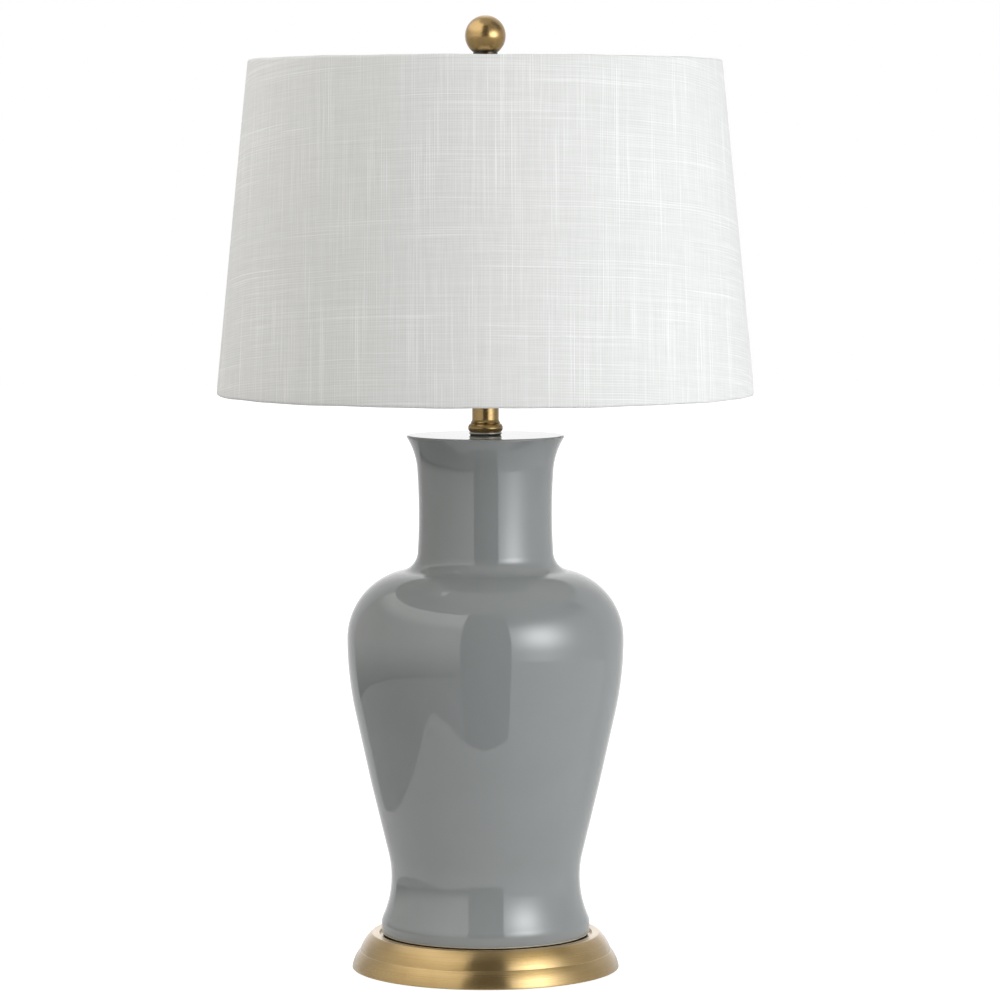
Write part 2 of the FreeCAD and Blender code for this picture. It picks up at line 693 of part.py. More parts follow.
class JarOutline:
    """Outline of the jar's wall as a chain of tangent arcs, set in from the glaze by a depth."""

    def __init__(self, depth):
        self.depth = Size.of(depth)
        self.foot = d.foot_bend - depth
        self.waist = d.waist_bend + depth
        self.flank = d.flank_bend - depth
        self.belly = d.belly_bend - depth
        self.shoulder = d.shoulder_bend - depth
        self.fillet = d.shoulder_fillet + depth
        self.throat = d.throat_bend + depth
        self.lip = d.lip_bend + depth
        self.waist_centre = (d.waist_radius + d.waist_bend, d.waist_height)
        self.belly_centre = (d.belly_radius - d.belly_bend, d.belly_height)
        self.shoulder_centre = (d.belly_radius - d.shoulder_bend, d.belly_height)
        self.throat_centre = (d.throat_radius + d.throat_bend, d.jar_height - d.throat_drop)
        across = d.foot_radius - d.foot_bend
        reach = d.foot_bend + d.waist_bend
        rise = (reach * reach - self.square(self.waist_centre[0] - across)).root()
        self.foot_centre = (across, d.waist_height - rise)
        self.flank_centre = self.meet(self.waist_centre, d.flank_bend + d.waist_bend,
                                      self.belly_centre, d.flank_bend - d.belly_bend, 1)
        self.fillet_centre = self.meet(self.shoulder_centre, d.shoulder_bend + d.shoulder_fillet,
                                       self.throat_centre, d.throat_bend - d.shoulder_fillet, 1)
        lip_tip = (d.lip_radius, d.jar_height - d.lip_edge)
        self.lip_centre = self.meet(self.throat_centre, d.throat_bend - d.lip_bend,
                                    lip_tip, d.lip_bend, 1)

    @staticmethod
    def square(size):
        """Return the square of a size."""
        return size * size

    def meet(self, first, first_radius, second, second_radius, side):
        """Return where two circles meet, on the left (+1) or right (-1) of first to second."""
        across = second[0] - first[0]
        up = second[1] - first[1]
        apart = self.square(across) + self.square(up)
        along = (self.square(first_radius) - self.square(second_radius) + apart) / (apart * 2)
        off = (self.square(first_radius) / apart - self.square(along)).root() * side
        return (first[0] + along * across - off * up, first[1] + along * up + off * across)

    def on_line(self, centre, through, reach):
        """Return the point at a distance from one centre, in the line to another centre."""
        across = through[0] - centre[0]
        up = through[1] - centre[1]
        share = reach / (self.square(across) + self.square(up)).root()
        return (centre[0] + share * across, centre[1] + share * up)

    def at_height(self, centre, radius, height):
        """Return the point of a bend that is hollow to the outside, at a height."""
        rise = height - centre[1]
        return (centre[0] - (self.square(radius) - self.square(rise)).root(), height)

    def wall(self):
        """Return the corners from above the foot to the start of the lip's flare."""
        depth = self.depth
        return [
            (d.foot_radius - depth, self.foot_centre[1], self.foot),
            (*self.on_line(self.foot_centre, self.waist_centre, self.foot), -self.waist),
            (*self.on_line(self.waist_centre, self.flank_centre, self.waist), self.flank),
            (*self.on_line(self.flank_centre, self.belly_centre, self.flank), self.belly),
            (d.belly_radius - depth, d.belly_height, self.shoulder),
            (*self.on_line(self.shoulder_centre, self.fillet_centre, self.shoulder), -self.fillet),
            (*self.on_line(self.throat_centre, self.fillet_centre, self.throat), -self.throat),
            (*self.on_line(self.throat_centre, self.lip_centre, self.throat), -self.lip),
        ]


def make_jar():
    """Slip-cast jar, open at the foot, with a flat deck that the rod passes through."""
    outside = JarOutline(0)
    body = turned("jar", [
        (0, 0),
        (d.foot_radius - d.foot_edge, 0, d.foot_edge),
        (d.foot_radius, d.foot_edge),
        *outside.wall(),
        (d.lip_radius, d.jar_height - d.lip_edge, d.lip_edge),
        (d.lip_radius - d.lip_edge, d.jar_height),
        (0, d.jar_height),
    ], jar_level)
    inside = JarOutline(d.jar_wall)
    ceiling = d.jar_height - d.deck_thickness
    turn_section(body, [
        (0, 0),
        (d.foot_radius - d.jar_wall, 0),
        *inside.wall(),
        inside.at_height(inside.lip_centre, inside.lip, ceiling),
        (0, ceiling),
    ], kind="Groove", name="hollow")
    hole = draw_circles(new_sketch(body, "rod_hole", "XY_Plane"),
                        [(0, 0, d.rod_radius + d.deck_hole_fit)])
    cut(body, hole)
    return body


def make_foot_ring():
    """Dark foam ring between the jar's foot and the seat plate."""
    return turned("foot_ring", ring(d.foot_ring_bore, d.foot_ring_radius, d.foot_ring_thickness),
                  seat_level)


# Turned neck.

def make_deck_gasket():
    """Rubber washer that keeps the metal off the glaze."""
    return turned("deck_gasket", ring(rod_hole, d.deck_gasket_radius, d.deck_gasket_thickness),
                  deck_level)


def make_check_ring():
    """Nickel ring under the neck, with a rounded edge."""
    edge = d.check_ring_thickness / 2
    return turned("check_ring", [
        (rod_hole, 0),
        (d.check_ring_radius - edge, 0, edge),
        (d.check_ring_radius, edge, edge),
        (d.check_ring_radius - edge, d.check_ring_thickness),
        (rod_hole, d.check_ring_thickness),
    ], check_ring_level)


def make_neck():
    """Hollow turned neck: a bulge, a crease, a small collar, a cove and a plain tube."""
    crease = d.neck_collar_radius - d.neck_crease_radius
    return turned("neck", [
        (rod_hole, 0),
        (d.neck_foot_radius, 0, d.neck_bulge_bend),
        (d.neck_bulge_radius, d.neck_bulge_height, d.neck_bulge_bend),
        (d.neck_collar_radius, d.neck_crease_height - crease),
        (d.neck_crease_radius, d.neck_crease_height),
        (d.neck_collar_radius, d.neck_crease_height + crease, -d.neck_cove_bend),
        (d.neck_tube_radius, d.neck_cove_height),
        (d.neck_tube_radius, d.neck_height),
        (d.neck_tube_radius - d.neck_wall, d.neck_height),
        (d.neck_tube_radius - d.neck_wall, d.neck_wall),
        (rod_hole, d.neck_wall),
    ], neck_level)


def make_neck_washer():
    """Washer that closes the neck and carries the saddle."""
    return turned("neck_washer", ring(rod_hole, d.neck_washer_radius, d.neck_washer_thickness),
                  neck_washer_level)


# Harp.

def make_harp_saddle():
    """Flat strap across the rod with two slotted posts for the harp's legs."""
    body = new_body("harp_saddle")
    reach = d.harp_leg_spread + d.saddle_post_radius
    half = d.saddle_width / 2
    strap = draw(new_sketch(body, "strap", "XY_Plane"), [
        (-reach, -half), (reach, -half), (reach, half), (-reach, half),
    ])
    pad(body, strap, d.saddle_thickness)
    eye = draw_circles(new_sketch(body, "eye", "XY_Plane"), [(0, 0, d.saddle_eye_radius)])
    pad(body, eye, d.saddle_thickness)
    posts = draw_circles(new_sketch(body, "posts", "XY_Plane"), [
        (d.harp_leg_spread, 0, d.saddle_post_radius),
        (-d.harp_leg_spread, 0, d.saddle_post_radius),
    ])
    top = d.saddle_thickness + d.saddle_post_height
    pad(body, posts, top)
    gap = d.harp_wire_radius + d.harp_wire_fit
    inner = d.harp_leg_spread - gap
    outer = reach + d.harp_wire_fit
    floor = d.saddle_thickness + d.saddle_slot_floor
    for side, flip in (("left", False), ("right", True)):
        slot = new_sketch(body, f"slot_{side}", "XZ_Plane")
        edges = (inner, outer) if flip else (-outer, -inner)
        draw(slot, [(edges[0], floor), (edges[1], floor), (edges[1], top), (edges[0], top)])
        before = volume(body)
        pocket = body.newObject("PartDesign::Pocket", f"{slot.Name}_cut")
        pocket.Profile = slot
        pocket.SideType = "Symmetric"
        pocket.setExpression("Length", (gap * 2).text)
        changed(body, before, pocket)
    hole = draw_circles(new_sketch(body, "hole", "XY_Plane"), [(0, 0, rod_hole)])
    cut(body, hole)
    place(body, up=saddle_level)
    return body


harp_wire_top = d.harp_height - d.stud_flange_thickness - d.stud_wire_drop - d.harp_wire_radius
slot_floor = d.saddle_thickness + d.saddle_slot_floor


def harp_path(side):
    """Return the corners of the harp's wire from a leg to the middle of its top."""
    sine = d.harp_lean.sine()
    fall = 1 - d.harp_lean.cosine()
    spread = d.harp_side_spread - d.harp_leg_spread
    run = (spread - (d.harp_knee_bend + d.harp_hip_bend) * fall) / sine
    knee = d.harp_knee_bend
    knee_end = (d.harp_leg_spread + knee * fall, d.harp_leg_top + knee * sine)
    hip_start = (knee_end[0] + run * sine, knee_end[1] + run * d.harp_lean.cosine())
    hip_end = (d.harp_side_spread, hip_start[1] + d.harp_hip_bend * sine)
    crown = d.harp_crown_bend
    corners = [
        (d.harp_leg_spread, slot_floor + d.harp_leg_gap),
        (d.harp_leg_spread, d.harp_leg_top, -knee),
        knee_end,
        (*hip_start, d.harp_hip_bend),
        hip_end,
        (d.harp_side_spread, harp_wire_top - crown, crown),
        (d.harp_side_spread - crown, harp_wire_top),
    ]
    if side > 0:
        return corners
    return [(-corner[0], *corner[1:]) for corner in corners]


def make_harp_wire():
    """One bent wire: two legs, two sides and a flat top."""
    body = new_body("harp_wire")
    right = harp_path(1)
    left = harp_path(-1)
    back = []
    for number in range(len(left) - 1, -1, -1):
        bend = left[number - 1][2:] if number else ()
        back.append((*left[number][:2], *bend))
    path = draw(new_sketch(body, "path", "XZ_Plane"), right + back, closed=False)
    section = new_sketch(body, "section", "XY_Plane")
    section.setExpression("AttachmentOffset.Base.z", right[0][1].text)
    draw_circles(section, [(d.harp_leg_spread, 0, d.harp_wire_radius)])
    pipe = body.newObject("PartDesign::AdditivePipe", "harp_wire_pipe")
    pipe.Profile = section
    pipe.Spine = path
    place(body, up=saddle_level)
    return body


def make_harp_stud():
    """Turned block on the wire, with the shade's seat and the finial's stud."""
    bottom = -(d.stud_flange_thickness + d.stud_block_depth)
    body = turned("harp_stud", [
        (0, bottom),
        (d.stud_block_radius, bottom),
        (d.stud_block_radius, -d.stud_flange_thickness),
        (d.stud_flange_radius, -d.stud_flange_thickness),
        (d.stud_flange_radius, 0),
        (d.stud_radius, 0),
        (d.stud_radius, d.stud_length),
        (0, d.stud_length),
    ], shade_seat_level)
    hole = draw_circles(new_sketch(body, "wire_hole", "YZ_Plane"), [
        (0, harp_wire_top - d.harp_height, d.harp_wire_radius),
    ])
    cut(body, hole)
    return body


def make_harp_sleeve(label, side):
    """Sleeve that locks a harp leg in its post."""
    bore = d.saddle_post_radius + d.sleeve_fit
    body = turned(label, ring(bore, bore + d.sleeve_wall, d.sleeve_height))
    place(body, across=d.harp_leg_spread * side, up=upper_nut_level + d.harp_leg_gap)
    return body


# Shade. Its pieces are drawn from the shade's bottom edge up.

lean = (d.shade_bottom_radius - d.shade_top_radius) / d.shade_height
fold = d.ring_wire_radius + d.ring_fit
roll = fold + d.cloth_thickness


def cone(inset, height):
    """Return the point of the shade's wall at a height, set in from its outside."""
    return (d.shade_bottom_radius - lean * height - inset, height)


def make_shade_fabric():
    """Linen laid round the liner and turned over both rings."""
    c = d.cloth_thickness
    high = d.shade_height - roll
    tuck = c + d.liner_thickness + d.liner_fit * 2
    middle_low = cone(roll, roll)[0]
    middle_high = cone(roll, high)[0]
    return turned("shade_fabric", [
        (middle_low, 0, roll),
        cone(0, roll),
        (*cone(0, high), roll),
        (middle_high, d.shade_height, roll),
        (middle_high - roll, high),
        (middle_high - roll, high - fold),
        cone(tuck + c, high - d.cloth_turn),
        cone(tuck, high - d.cloth_turn),
        (middle_high - fold, high - fold),
        (middle_high - fold, high, -fold),
        (middle_high, d.shade_height - c, -fold),
        cone(c, high),
        (*cone(c, roll), -fold),
        (middle_low, c, -fold),
        (middle_low - fold, roll),
        (middle_low - fold, roll + fold),
        cone(tuck, roll + d.cloth_turn),
        cone(tuck + c, roll + d.cloth_turn),
        (middle_low - roll, roll + fold),
        (middle_low - roll, roll, roll),
    ], shade_level)


def make_shade_liner():
    """Styrene sheet that stiffens the linen."""
    near = d.cloth_thickness + d.liner_fit
    far = near + d.liner_thickness
    low = d.liner_margin
    high = d.shade_height - d.liner_margin
    return turned("shade_liner", [cone(far, low), cone(near, low), cone(near, high), cone(far, high)],
                  shade_level)


def make_shade_ring(label, height, level):
    """Wire ring in the shade's edge."""
    item = doc.addObject("Part::Torus", label)
    item.Label = label
    item.setExpression("Radius1", cone(roll, height)[0].text)
    item.setExpression("Radius2", d.ring_wire_radius.text)
    place(item, up=level)
    return item


def make_shade_hub():
    """Washer in the middle of the spider, which lies on the harp's seat."""
    return turned("shade_hub", ring(d.hub_bore, d.hub_radius, d.hub_thickness), shade_seat_level)


def make_spider_spokes():
    """Three wires from the hub, which climb near the end to meet the top ring."""
    body = new_body("spider_spokes")
    body.AllowCompound = True
    start = d.hub_radius + d.hub_gap
    end = cone(roll, d.shade_height - roll)[0]
    low = d.hub_thickness / 2
    high = d.shade_drop - roll
    path = draw(new_sketch(body, "path", "XZ_Plane"), [
        (start, low),
        (end - d.spoke_rise_run, low),
        (end, high),
    ], closed=False)
    section = new_sketch(body, "section", "YZ_Plane")
    section.setExpression("AttachmentOffset.Base.z", start.text)
    draw_circles(section, [(0, low, d.spoke_wire_radius)])
    pipe = body.newObject("PartDesign::AdditivePipe", "spider_spokes_pipe")
    pipe.Profile = section
    pipe.Spine = path
    pipe.Transition = "Round corner"
    doc.recompute()
    pattern = body.newObject("PartDesign::PolarPattern", "spider_spokes_pattern")
    pattern.Originals = [pipe]
    pattern.Axis = (path, ["V_Axis"])
    pattern.Angle = FULL_TURN
    pattern.Occurrences = 3
    body.Tip = pattern
    place(body, up=shade_seat_level)
    body.Placement.Rotation = FreeCAD.Rotation(FreeCAD.Vector(0, 0, 1), 90)
    return body


# Finial.

ball_rise = (d.ball_radius * d.ball_radius - d.ball_seat_radius * d.ball_seat_radius).root()
insert_hole = d.insert_radius + d.insert_fit


def make_finial_ball():
    """Brass ball with a flat and a blind hole under it."""
    depth = d.insert_length - d.collar_height + d.insert_fit + d.insert_fit
    body = turned("finial_ball", [
        (0, 0),
        (d.ball_seat_radius, 0, d.ball_radius),
        (d.ball_radius, ball_rise, d.ball_radius),
        (0, ball_rise + d.ball_radius),
    ], ball_level)
    hole = draw_circles(new_sketch(body, "hole", "XY_Plane"), [(0, 0, insert_hole)])
    cut(body, hole, depth, flip=True)
    return body


def make_finial_collar():
    """Turned collar under the ball: a foot, a waist and a cup."""
    return turned("finial_collar", [
        (insert_hole, 0),
        (d.collar_foot_radius, 0),
        (d.collar_foot_radius, d.collar_foot_height, -d.collar_cove_bend),
        (d.collar_stem_radius, d.collar_stem_height, -d.collar_cove_bend),
        (d.ball_seat_radius, d.collar_height - d.collar_foot_height),
        (d.ball_seat_radius, d.collar_height),
        (insert_hole, d.collar_height),
    ], finial_level)


def make_finial_insert():
    """Threaded insert that turns down the harp's stud."""
    bore = d.stud_radius + d.thread_gap
    blind = d.stud_length - d.hub_thickness + d.thread_gap
    return turned("finial_insert", [
        (bore, 0),
        (d.insert_radius, 0),
        (d.insert_radius, d.insert_length),
        (0, d.insert_length),
        (0, blind),
        (bore, blind),
    ], finial_level)


# Socket.

shell_radius = d.cap_radius - d.cap_wall - d.shell_fit
board_radius = shell_radius - d.shell_wall - d.board_fit
core_radius = board_radius - d.sleeve_board - d.board_fit
switch_level = cap_level + d.switch_height
set_screw_level = cap_level + d.set_screw_height


def make_socket_cap():
    """Drawn cap: a threaded neck, a dome and a skirt that takes the shell."""
    w = d.cap_wall
    body = turned("socket_cap", [
        (rod_hole, 0),
        (d.cap_neck_radius, 0),
        (d.cap_neck_radius, d.cap_neck_height, d.cap_dome_bend),
        (d.cap_radius, d.cap_dome_height),
        (d.cap_radius, d.cap_height),
        (d.cap_radius - w, d.cap_height),
        (d.cap_radius - w, d.cap_dome_height, -d.cap_dome_bend),
        (d.cap_neck_radius - w, d.cap_neck_height + w),
        (rod_hole, d.cap_neck_height + w),
    ], cap_level)
    hole = draw_circles(new_sketch(body, "screw_hole", "XZ_Plane"),
                        [(0, d.set_screw_height, d.set_screw_radius)])
    cut(body, hole, d.cap_neck_radius + w)
    return body


def make_set_screw():
    """Slotted screw that locks the cap on the rod, at the back."""
    head = d.cap_neck_radius + d.set_screw_head_height
    body = turned("set_screw", [
        (0, d.rod_radius),
        (d.set_screw_radius, d.rod_radius),
        (d.set_screw_radius, d.cap_neck_radius),
        (d.set_screw_head_radius, d.cap_neck_radius),
        (d.set_screw_head_radius, head),
        (0, head),
    ])
    half = d.set_screw_head_height / 4
    slot = draw(new_sketch(body, "slot", "XZ_Plane"), [
        (-half, head - half), (half, head - half), (half, head), (-half, head),
    ])
    cut(body, slot)
    body.Placement.Rotation = FreeCAD.Rotation(FreeCAD.Vector(1, 0, 0), -90)
    place(body, up=set_screw_level)
    return body


def make_socket_shell():
    """Outer brass shell with a beaded mouth and a hole for the switch shaft."""
    w = d.shell_wall
    bead = d.shell_bead
    top = d.shell_length
    body = turned("socket_shell", [
        (shell_radius - w, 0),
        (shell_radius, 0),
        (shell_radius, top - bead * 2, bead),
        (shell_radius + bead, top - bead, bead),
        (shell_radius, top),
        (shell_radius - w, top),
    ], shell_level)
    drill_for_switch(body, shell_level, d.switch_shaft_radius + d.switch_hole_gap)
    return body


def make_socket_board():
    """Cardboard sleeve that insulates the shell."""
    body = turned("socket_board",
                  ring(board_radius - d.sleeve_board, board_radius, d.shell_length - d.shell_wall * 3),
                  core_level)
    drill_for_switch(body, core_level, d.switch_shaft_radius + d.switch_hole_gap)
    return body


def drill_for_switch(body, level, radius):
    """Drill the front of a piece for the switch shaft."""
    hole = draw_circles(new_sketch(body, "switch_hole", "XZ_Plane"),
                        [(0, switch_level - level, radius)])
    cut(body, hole, d.cap_radius, flip=True)


def make_socket_core():
    """Moulded core with two flats for the terminal screws."""
    body = turned("socket_core", ring(0, core_radius, d.core_height), core_level)
    drill_for_switch(body, core_level, d.switch_shaft_radius + d.switch_shaft_fit)
    low = (d.core_height - d.core_flat_height) / 2
    high = low + d.core_flat_height
    for side in (1, -1):
        flat = new_sketch(body, "flat_right" if side > 0 else "flat_left", "XZ_Plane")
        near = d.core_flat * side
        far = (core_radius + d.board_fit) * side
        draw(flat, [(near, low), (far, low), (far, high), (near, high)])
        cut(body, flat)
    holes = draw_circles(new_sketch(body, "terminal_holes", "YZ_Plane"),
                         [(0, d.core_height / 2, d.terminal_radius)])
    cut(body, holes)
    return body


def make_terminal_screws():
    """Two terminal screws in the flats of the core."""
    screws = []
    inner = d.core_flat - d.terminal_length
    for side in (1, -1):
        shank = doc.addObject("Part::Cylinder", "terminal_shank")
        shank.setExpression("Radius", d.terminal_radius.text)
        shank.setExpression("Height", d.terminal_length.text)
        head = doc.addObject("Part::Cylinder", "terminal_head")
        head.setExpression("Radius", d.terminal_head_radius.text)
        head.setExpression("Height", d.terminal_head_height.text)
        turn = FreeCAD.Rotation(FreeCAD.Vector(0, 1, 0), 90 * side)
        for item, start in ((shank, inner), (head, d.core_flat)):
            item.Placement.Rotation = turn
            place(item, across=start * side)
        screw = doc.addObject("Part::Fuse", "terminal_screw")
        screw.Base = shank
        screw.Tool = head
        screws.append(screw)
    group = doc.addObject("Part::Compound", "terminal_screws")
    group.Label = "terminal_screws"
    group.Links = screws
    place(group, up=core_level + d.core_height / 2)
    return group


def thread_corners(radius, start, count, side):
    """Return the corners of a rolled thread: hollow and round by turns, climbing or falling."""
    half = d.screw_thread_pitch / 2
    chord = half / 2
    bend = (chord * chord + JarOutline.square(d.screw_thread_depth / 2)) / d.screw_thread_depth
    corners = []
    for number in range(count * 2):
        hollow = number % 2 == 0
        turn = -bend if hollow == (side > 0) else bend
        corners.append((radius, start + half * number * side, turn * side))
    return corners + [(radius, start + half * count * 2 * side)]


def thread_count(run):
    """Return how many whole threads a run has room for."""
    return int(run.value / d.screw_thread_pitch.value)


def make_screw_shell():
    """Threaded shell that takes the bulb's cap."""
    bore = d.screw_shell_bore + d.screw_thread_depth / 2
    outer = bore + d.screw_shell_wall
    first = d.screw_shell_wall * 3
    count = thread_count(d.screw_shell_height - first)
    last = first + d.screw_thread_pitch * count
    return turned("screw_shell", [
        (d.contact_hole, 0),
        (outer, 0),
        *thread_corners(outer, first, count, 1),
        (outer, d.screw_shell_height),
        (bore, d.screw_shell_height),
        *thread_corners(bore, last, count, -1),
        (bore, d.screw_shell_wall),
        (d.contact_hole, d.screw_shell_wall),
    ], screw_shell_level)


def make_centre_contact():
    """Domed contact in the middle of the lamp holder."""
    rise = d.contact_radius / 4
    bend = (d.contact_radius * d.contact_radius + rise * rise) / (rise * 2)
    return turned("centre_contact", [
        (0, 0),
        (d.contact_radius, 0),
        (d.contact_radius, d.contact_height - rise, bend),
        (0, d.contact_height),
    ], screw_shell_level)


# Switch.

def make_switch_shaft():
    """Shaft of the rotary switch, to the front."""
    body = turned("switch_shaft", [
        (0, d.switch_shaft_depth),
        (d.switch_shaft_radius, d.switch_shaft_depth),
        (d.switch_shaft_radius, d.switch_shaft_end),
        (0, d.switch_shaft_end),
    ])
    face_front(body)
    return body


def make_switch_key():
    """Turned and fluted key on the shaft."""
    grip = d.key_length - d.key_waist_length
    start = d.key_start
    edge = d.key_flute_radius
    body = turned("switch_key", [
        (d.switch_shaft_radius, start),
        (d.key_waist_radius, start),
        (d.key_waist_radius, start + d.key_waist_length),
        (d.key_radius, start + d.key_waist_length + edge),
        (d.key_radius, start + d.key_waist_length + grip - edge, edge),
        (d.key_radius - edge, start + d.key_length),
        (0, start + d.key_length),
        (0, d.switch_shaft_end),
        (d.switch_shaft_radius, d.switch_shaft_end),
    ])
    flute = new_sketch(body, "flute", "XY_Plane")
    flute.setExpression("AttachmentOffset.Base.z", (start + d.key_waist_length).text)
    draw_circles(flute, [(0, d.key_radius, d.key_flute_radius)])
    pocket = cut(body, flute, grip, flip=True)
    repeat_round(body, [pocket], d.key_flutes)
    face_front(body)
    return body


def face_front(body):
    """Lay a turned piece along the switch's axis, to the front."""
    body.Placement.Rotation = FreeCAD.Rotation(FreeCAD.Vector(1, 0, 0), 90)
    place(body, up=switch_level)


# Bulb. Its pieces are drawn from the tip up.

cap_start = d.bulb_tip_height + d.bulb_glass_height
cap_end = cap_start + d.bulb_cap_height
globe_centre = d.bulb_height - d.bulb_globe_radius
globe_edge = globe_centre - d.bulb_globe_drop
housing_collar_top = cap_end + d.bulb_collar_height


def globe_radius_at(radius, height):
    """Return the radius of a sphere on the globe's centre at a height."""
    rise = height - globe_centre
    return (radius * radius - rise * rise).root()


def housing_radius_at(height):
    """Return the housing's outer radius at a height on its hollow bend."""
    across = globe_radius_at(d.bulb_globe_radius, globe_edge) - d.bulb_collar_radius
    up = globe_edge - housing_collar_top
    chord = (across * across + up * up).root()
    share = (d.bulb_housing_bend * d.bulb_housing_bend - chord * chord / 4).root() / chord
    centre = d.bulb_collar_radius + across / 2 + up * share
    rise = height - (housing_collar_top + up / 2 - across * share)
    return centre - (d.bulb_housing_bend * d.bulb_housing_bend - rise * rise).root()


def make_bulb_tip():
    """Solder-topped tip contact."""
    return turned("bulb_tip", [
        (0, 0),
        (d.bulb_tip_radius - d.bulb_tip_height, 0, d.bulb_tip_height),
        (d.bulb_tip_radius, d.bulb_tip_height),
        (0, d.bulb_tip_height),
    ], bulb_level)


def make_bulb_insulator():
    """Black insulator between the tip and the cap."""
    return turned("bulb_insulator", [
        (0, d.bulb_tip_height),
        (d.bulb_tip_radius, d.bulb_tip_height),
        (d.bulb_glass_radius, cap_start),
        (0, cap_start),
    ], bulb_level)


def make_bulb_cap():
    """Rolled screw cap."""
    outer = d.bulb_cap_radius - d.screw_thread_depth / 2
    inner = outer - d.bulb_cap_wall
    first = cap_start + d.bulb_cap_wall * 3
    count = thread_count(cap_end - first)
    last = first + d.screw_thread_pitch * count
    return turned("bulb_cap", [
        (0, cap_start),
        (d.bulb_glass_radius, cap_start),
        (outer, first - d.bulb_cap_wall),
        *thread_corners(outer, first, count, 1),
        (outer, cap_end),
        (inner, cap_end),
        *thread_corners(inner, last, count, -1),
        (inner, first - d.bulb_cap_wall),
        (0, first - d.bulb_cap_wall),
    ], bulb_level)


def make_bulb_housing():
    """Moulded housing that flares from the cap to the globe."""
    w = d.bulb_wall
    edge_radius = globe_radius_at(d.bulb_globe_radius, globe_edge)
    return turned("bulb_housing", [
        (0, cap_end),
        (d.bulb_cap_radius, cap_end),
        (d.bulb_collar_radius, housing_collar_top, -d.bulb_housing_bend),
        (edge_radius, globe_edge),
        (edge_radius - w, globe_edge, d.bulb_housing_bend),
        (d.bulb_collar_radius - w, housing_collar_top),
        (d.bulb_collar_radius - w, cap_end + w),
        (0, cap_end + w),
    ], bulb_level)


def make_bulb_diffuser():
    """Opal globe."""
    outer = d.bulb_globe_radius
    inner = outer - d.bulb_wall
    return turned("bulb_diffuser", [
        (globe_radius_at(inner, globe_edge), globe_edge),
        (globe_radius_at(outer, globe_edge), globe_edge, outer),
        (outer, globe_centre, outer),
        (0, d.bulb_height),
        (0, d.bulb_height - d.bulb_wall, -inner),
        (inner, globe_centre, -inner),
    ], bulb_level)


def make_light_board():
    """Round board with the light sources, inside the housing."""
    level = globe_edge - d.bulb_board_drop
    radius = housing_radius_at(level) - d.bulb_wall - d.bulb_board_gap
    return turned("light_board", [
        (0, level), (radius, level),
        (radius, level + d.bulb_board_thickness), (0, level + d.bulb_board_thickness),
    ], bulb_level)


# All sub-parts, from the table up.

pieces = [
    make_felt_pad(),
    make_base_weight(),
    make_base_shell(),
    make_cord_bushing(),
    make_lower_nut(),
    make_lower_washer(),
    make_lock_washer(),
    make_lamp_rod(),
    make_foot_ring(),
    make_jar(),
    make_deck_gasket(),
    make_check_ring(),
    make_neck(),
    make_neck_washer(),
    make_harp_saddle(),
    make_upper_nut(),
    make_socket_cap(),
    make_set_screw(),
    make_socket_shell(),
    make_socket_board(),
    make_socket_core(),
    make_terminal_screws(),
    make_screw_shell(),
    make_centre_contact(),
    make_switch_shaft(),
    make_switch_key(),
    make_bulb_tip(),
    make_bulb_insulator(),
    make_bulb_cap(),
    make_bulb_housing(),
    make_bulb_diffuser(),
    make_light_board(),
    make_harp_wire(),
    make_harp_stud(),
    make_harp_sleeve("harp_sleeve_right", 1),
    make_harp_sleeve("harp_sleeve_left", -1),
    make_shade_hub(),
    make_spider_spokes(),
    make_shade_ring("shade_top_ring", d.shade_height - roll, shade_level + d.shade_height - roll),
    make_shade_ring("shade_bottom_ring", roll, shade_level + roll),
    make_shade_liner(),
    make_shade_fabric(),
    make_finial_insert(),
    make_finial_collar(),
    make_finial_ball(),
]

doc.recompute()

for item in doc.Objects:
    if "Invalid" in item.State or "Error" in item.State:
        raise RuntimeError(f"{item.Label} could not be built: {item.State}")

for piece in pieces:
    shape = piece.Shape
    if shape.isNull() or not shape.isValid() or not shape.Solids:
        raise RuntimeError(f"{piece.Label} has no valid solid")

for piece in pieces:
    piece.Shape.exportStep(os.path.join(OUT, f"{piece.Label}.step"))

print(f"{len(pieces)} sub-parts written")
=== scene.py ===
"""Looks of the ginger jar lamp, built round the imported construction.

Meshes of its own are made for the glazed jar, for the linen shade with its slubs, and for the soft pads of
felt, foam and rubber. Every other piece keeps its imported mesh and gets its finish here. Sizes in the classes
are in millimetres, as on a drawing, and meshes are in metres. The lamp's axis is Z, its front is -Y, and
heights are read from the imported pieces.
"""

import json
import logging
import math
from collections.abc import Callable, Sequence
from dataclasses import dataclass, field
from enum import Enum

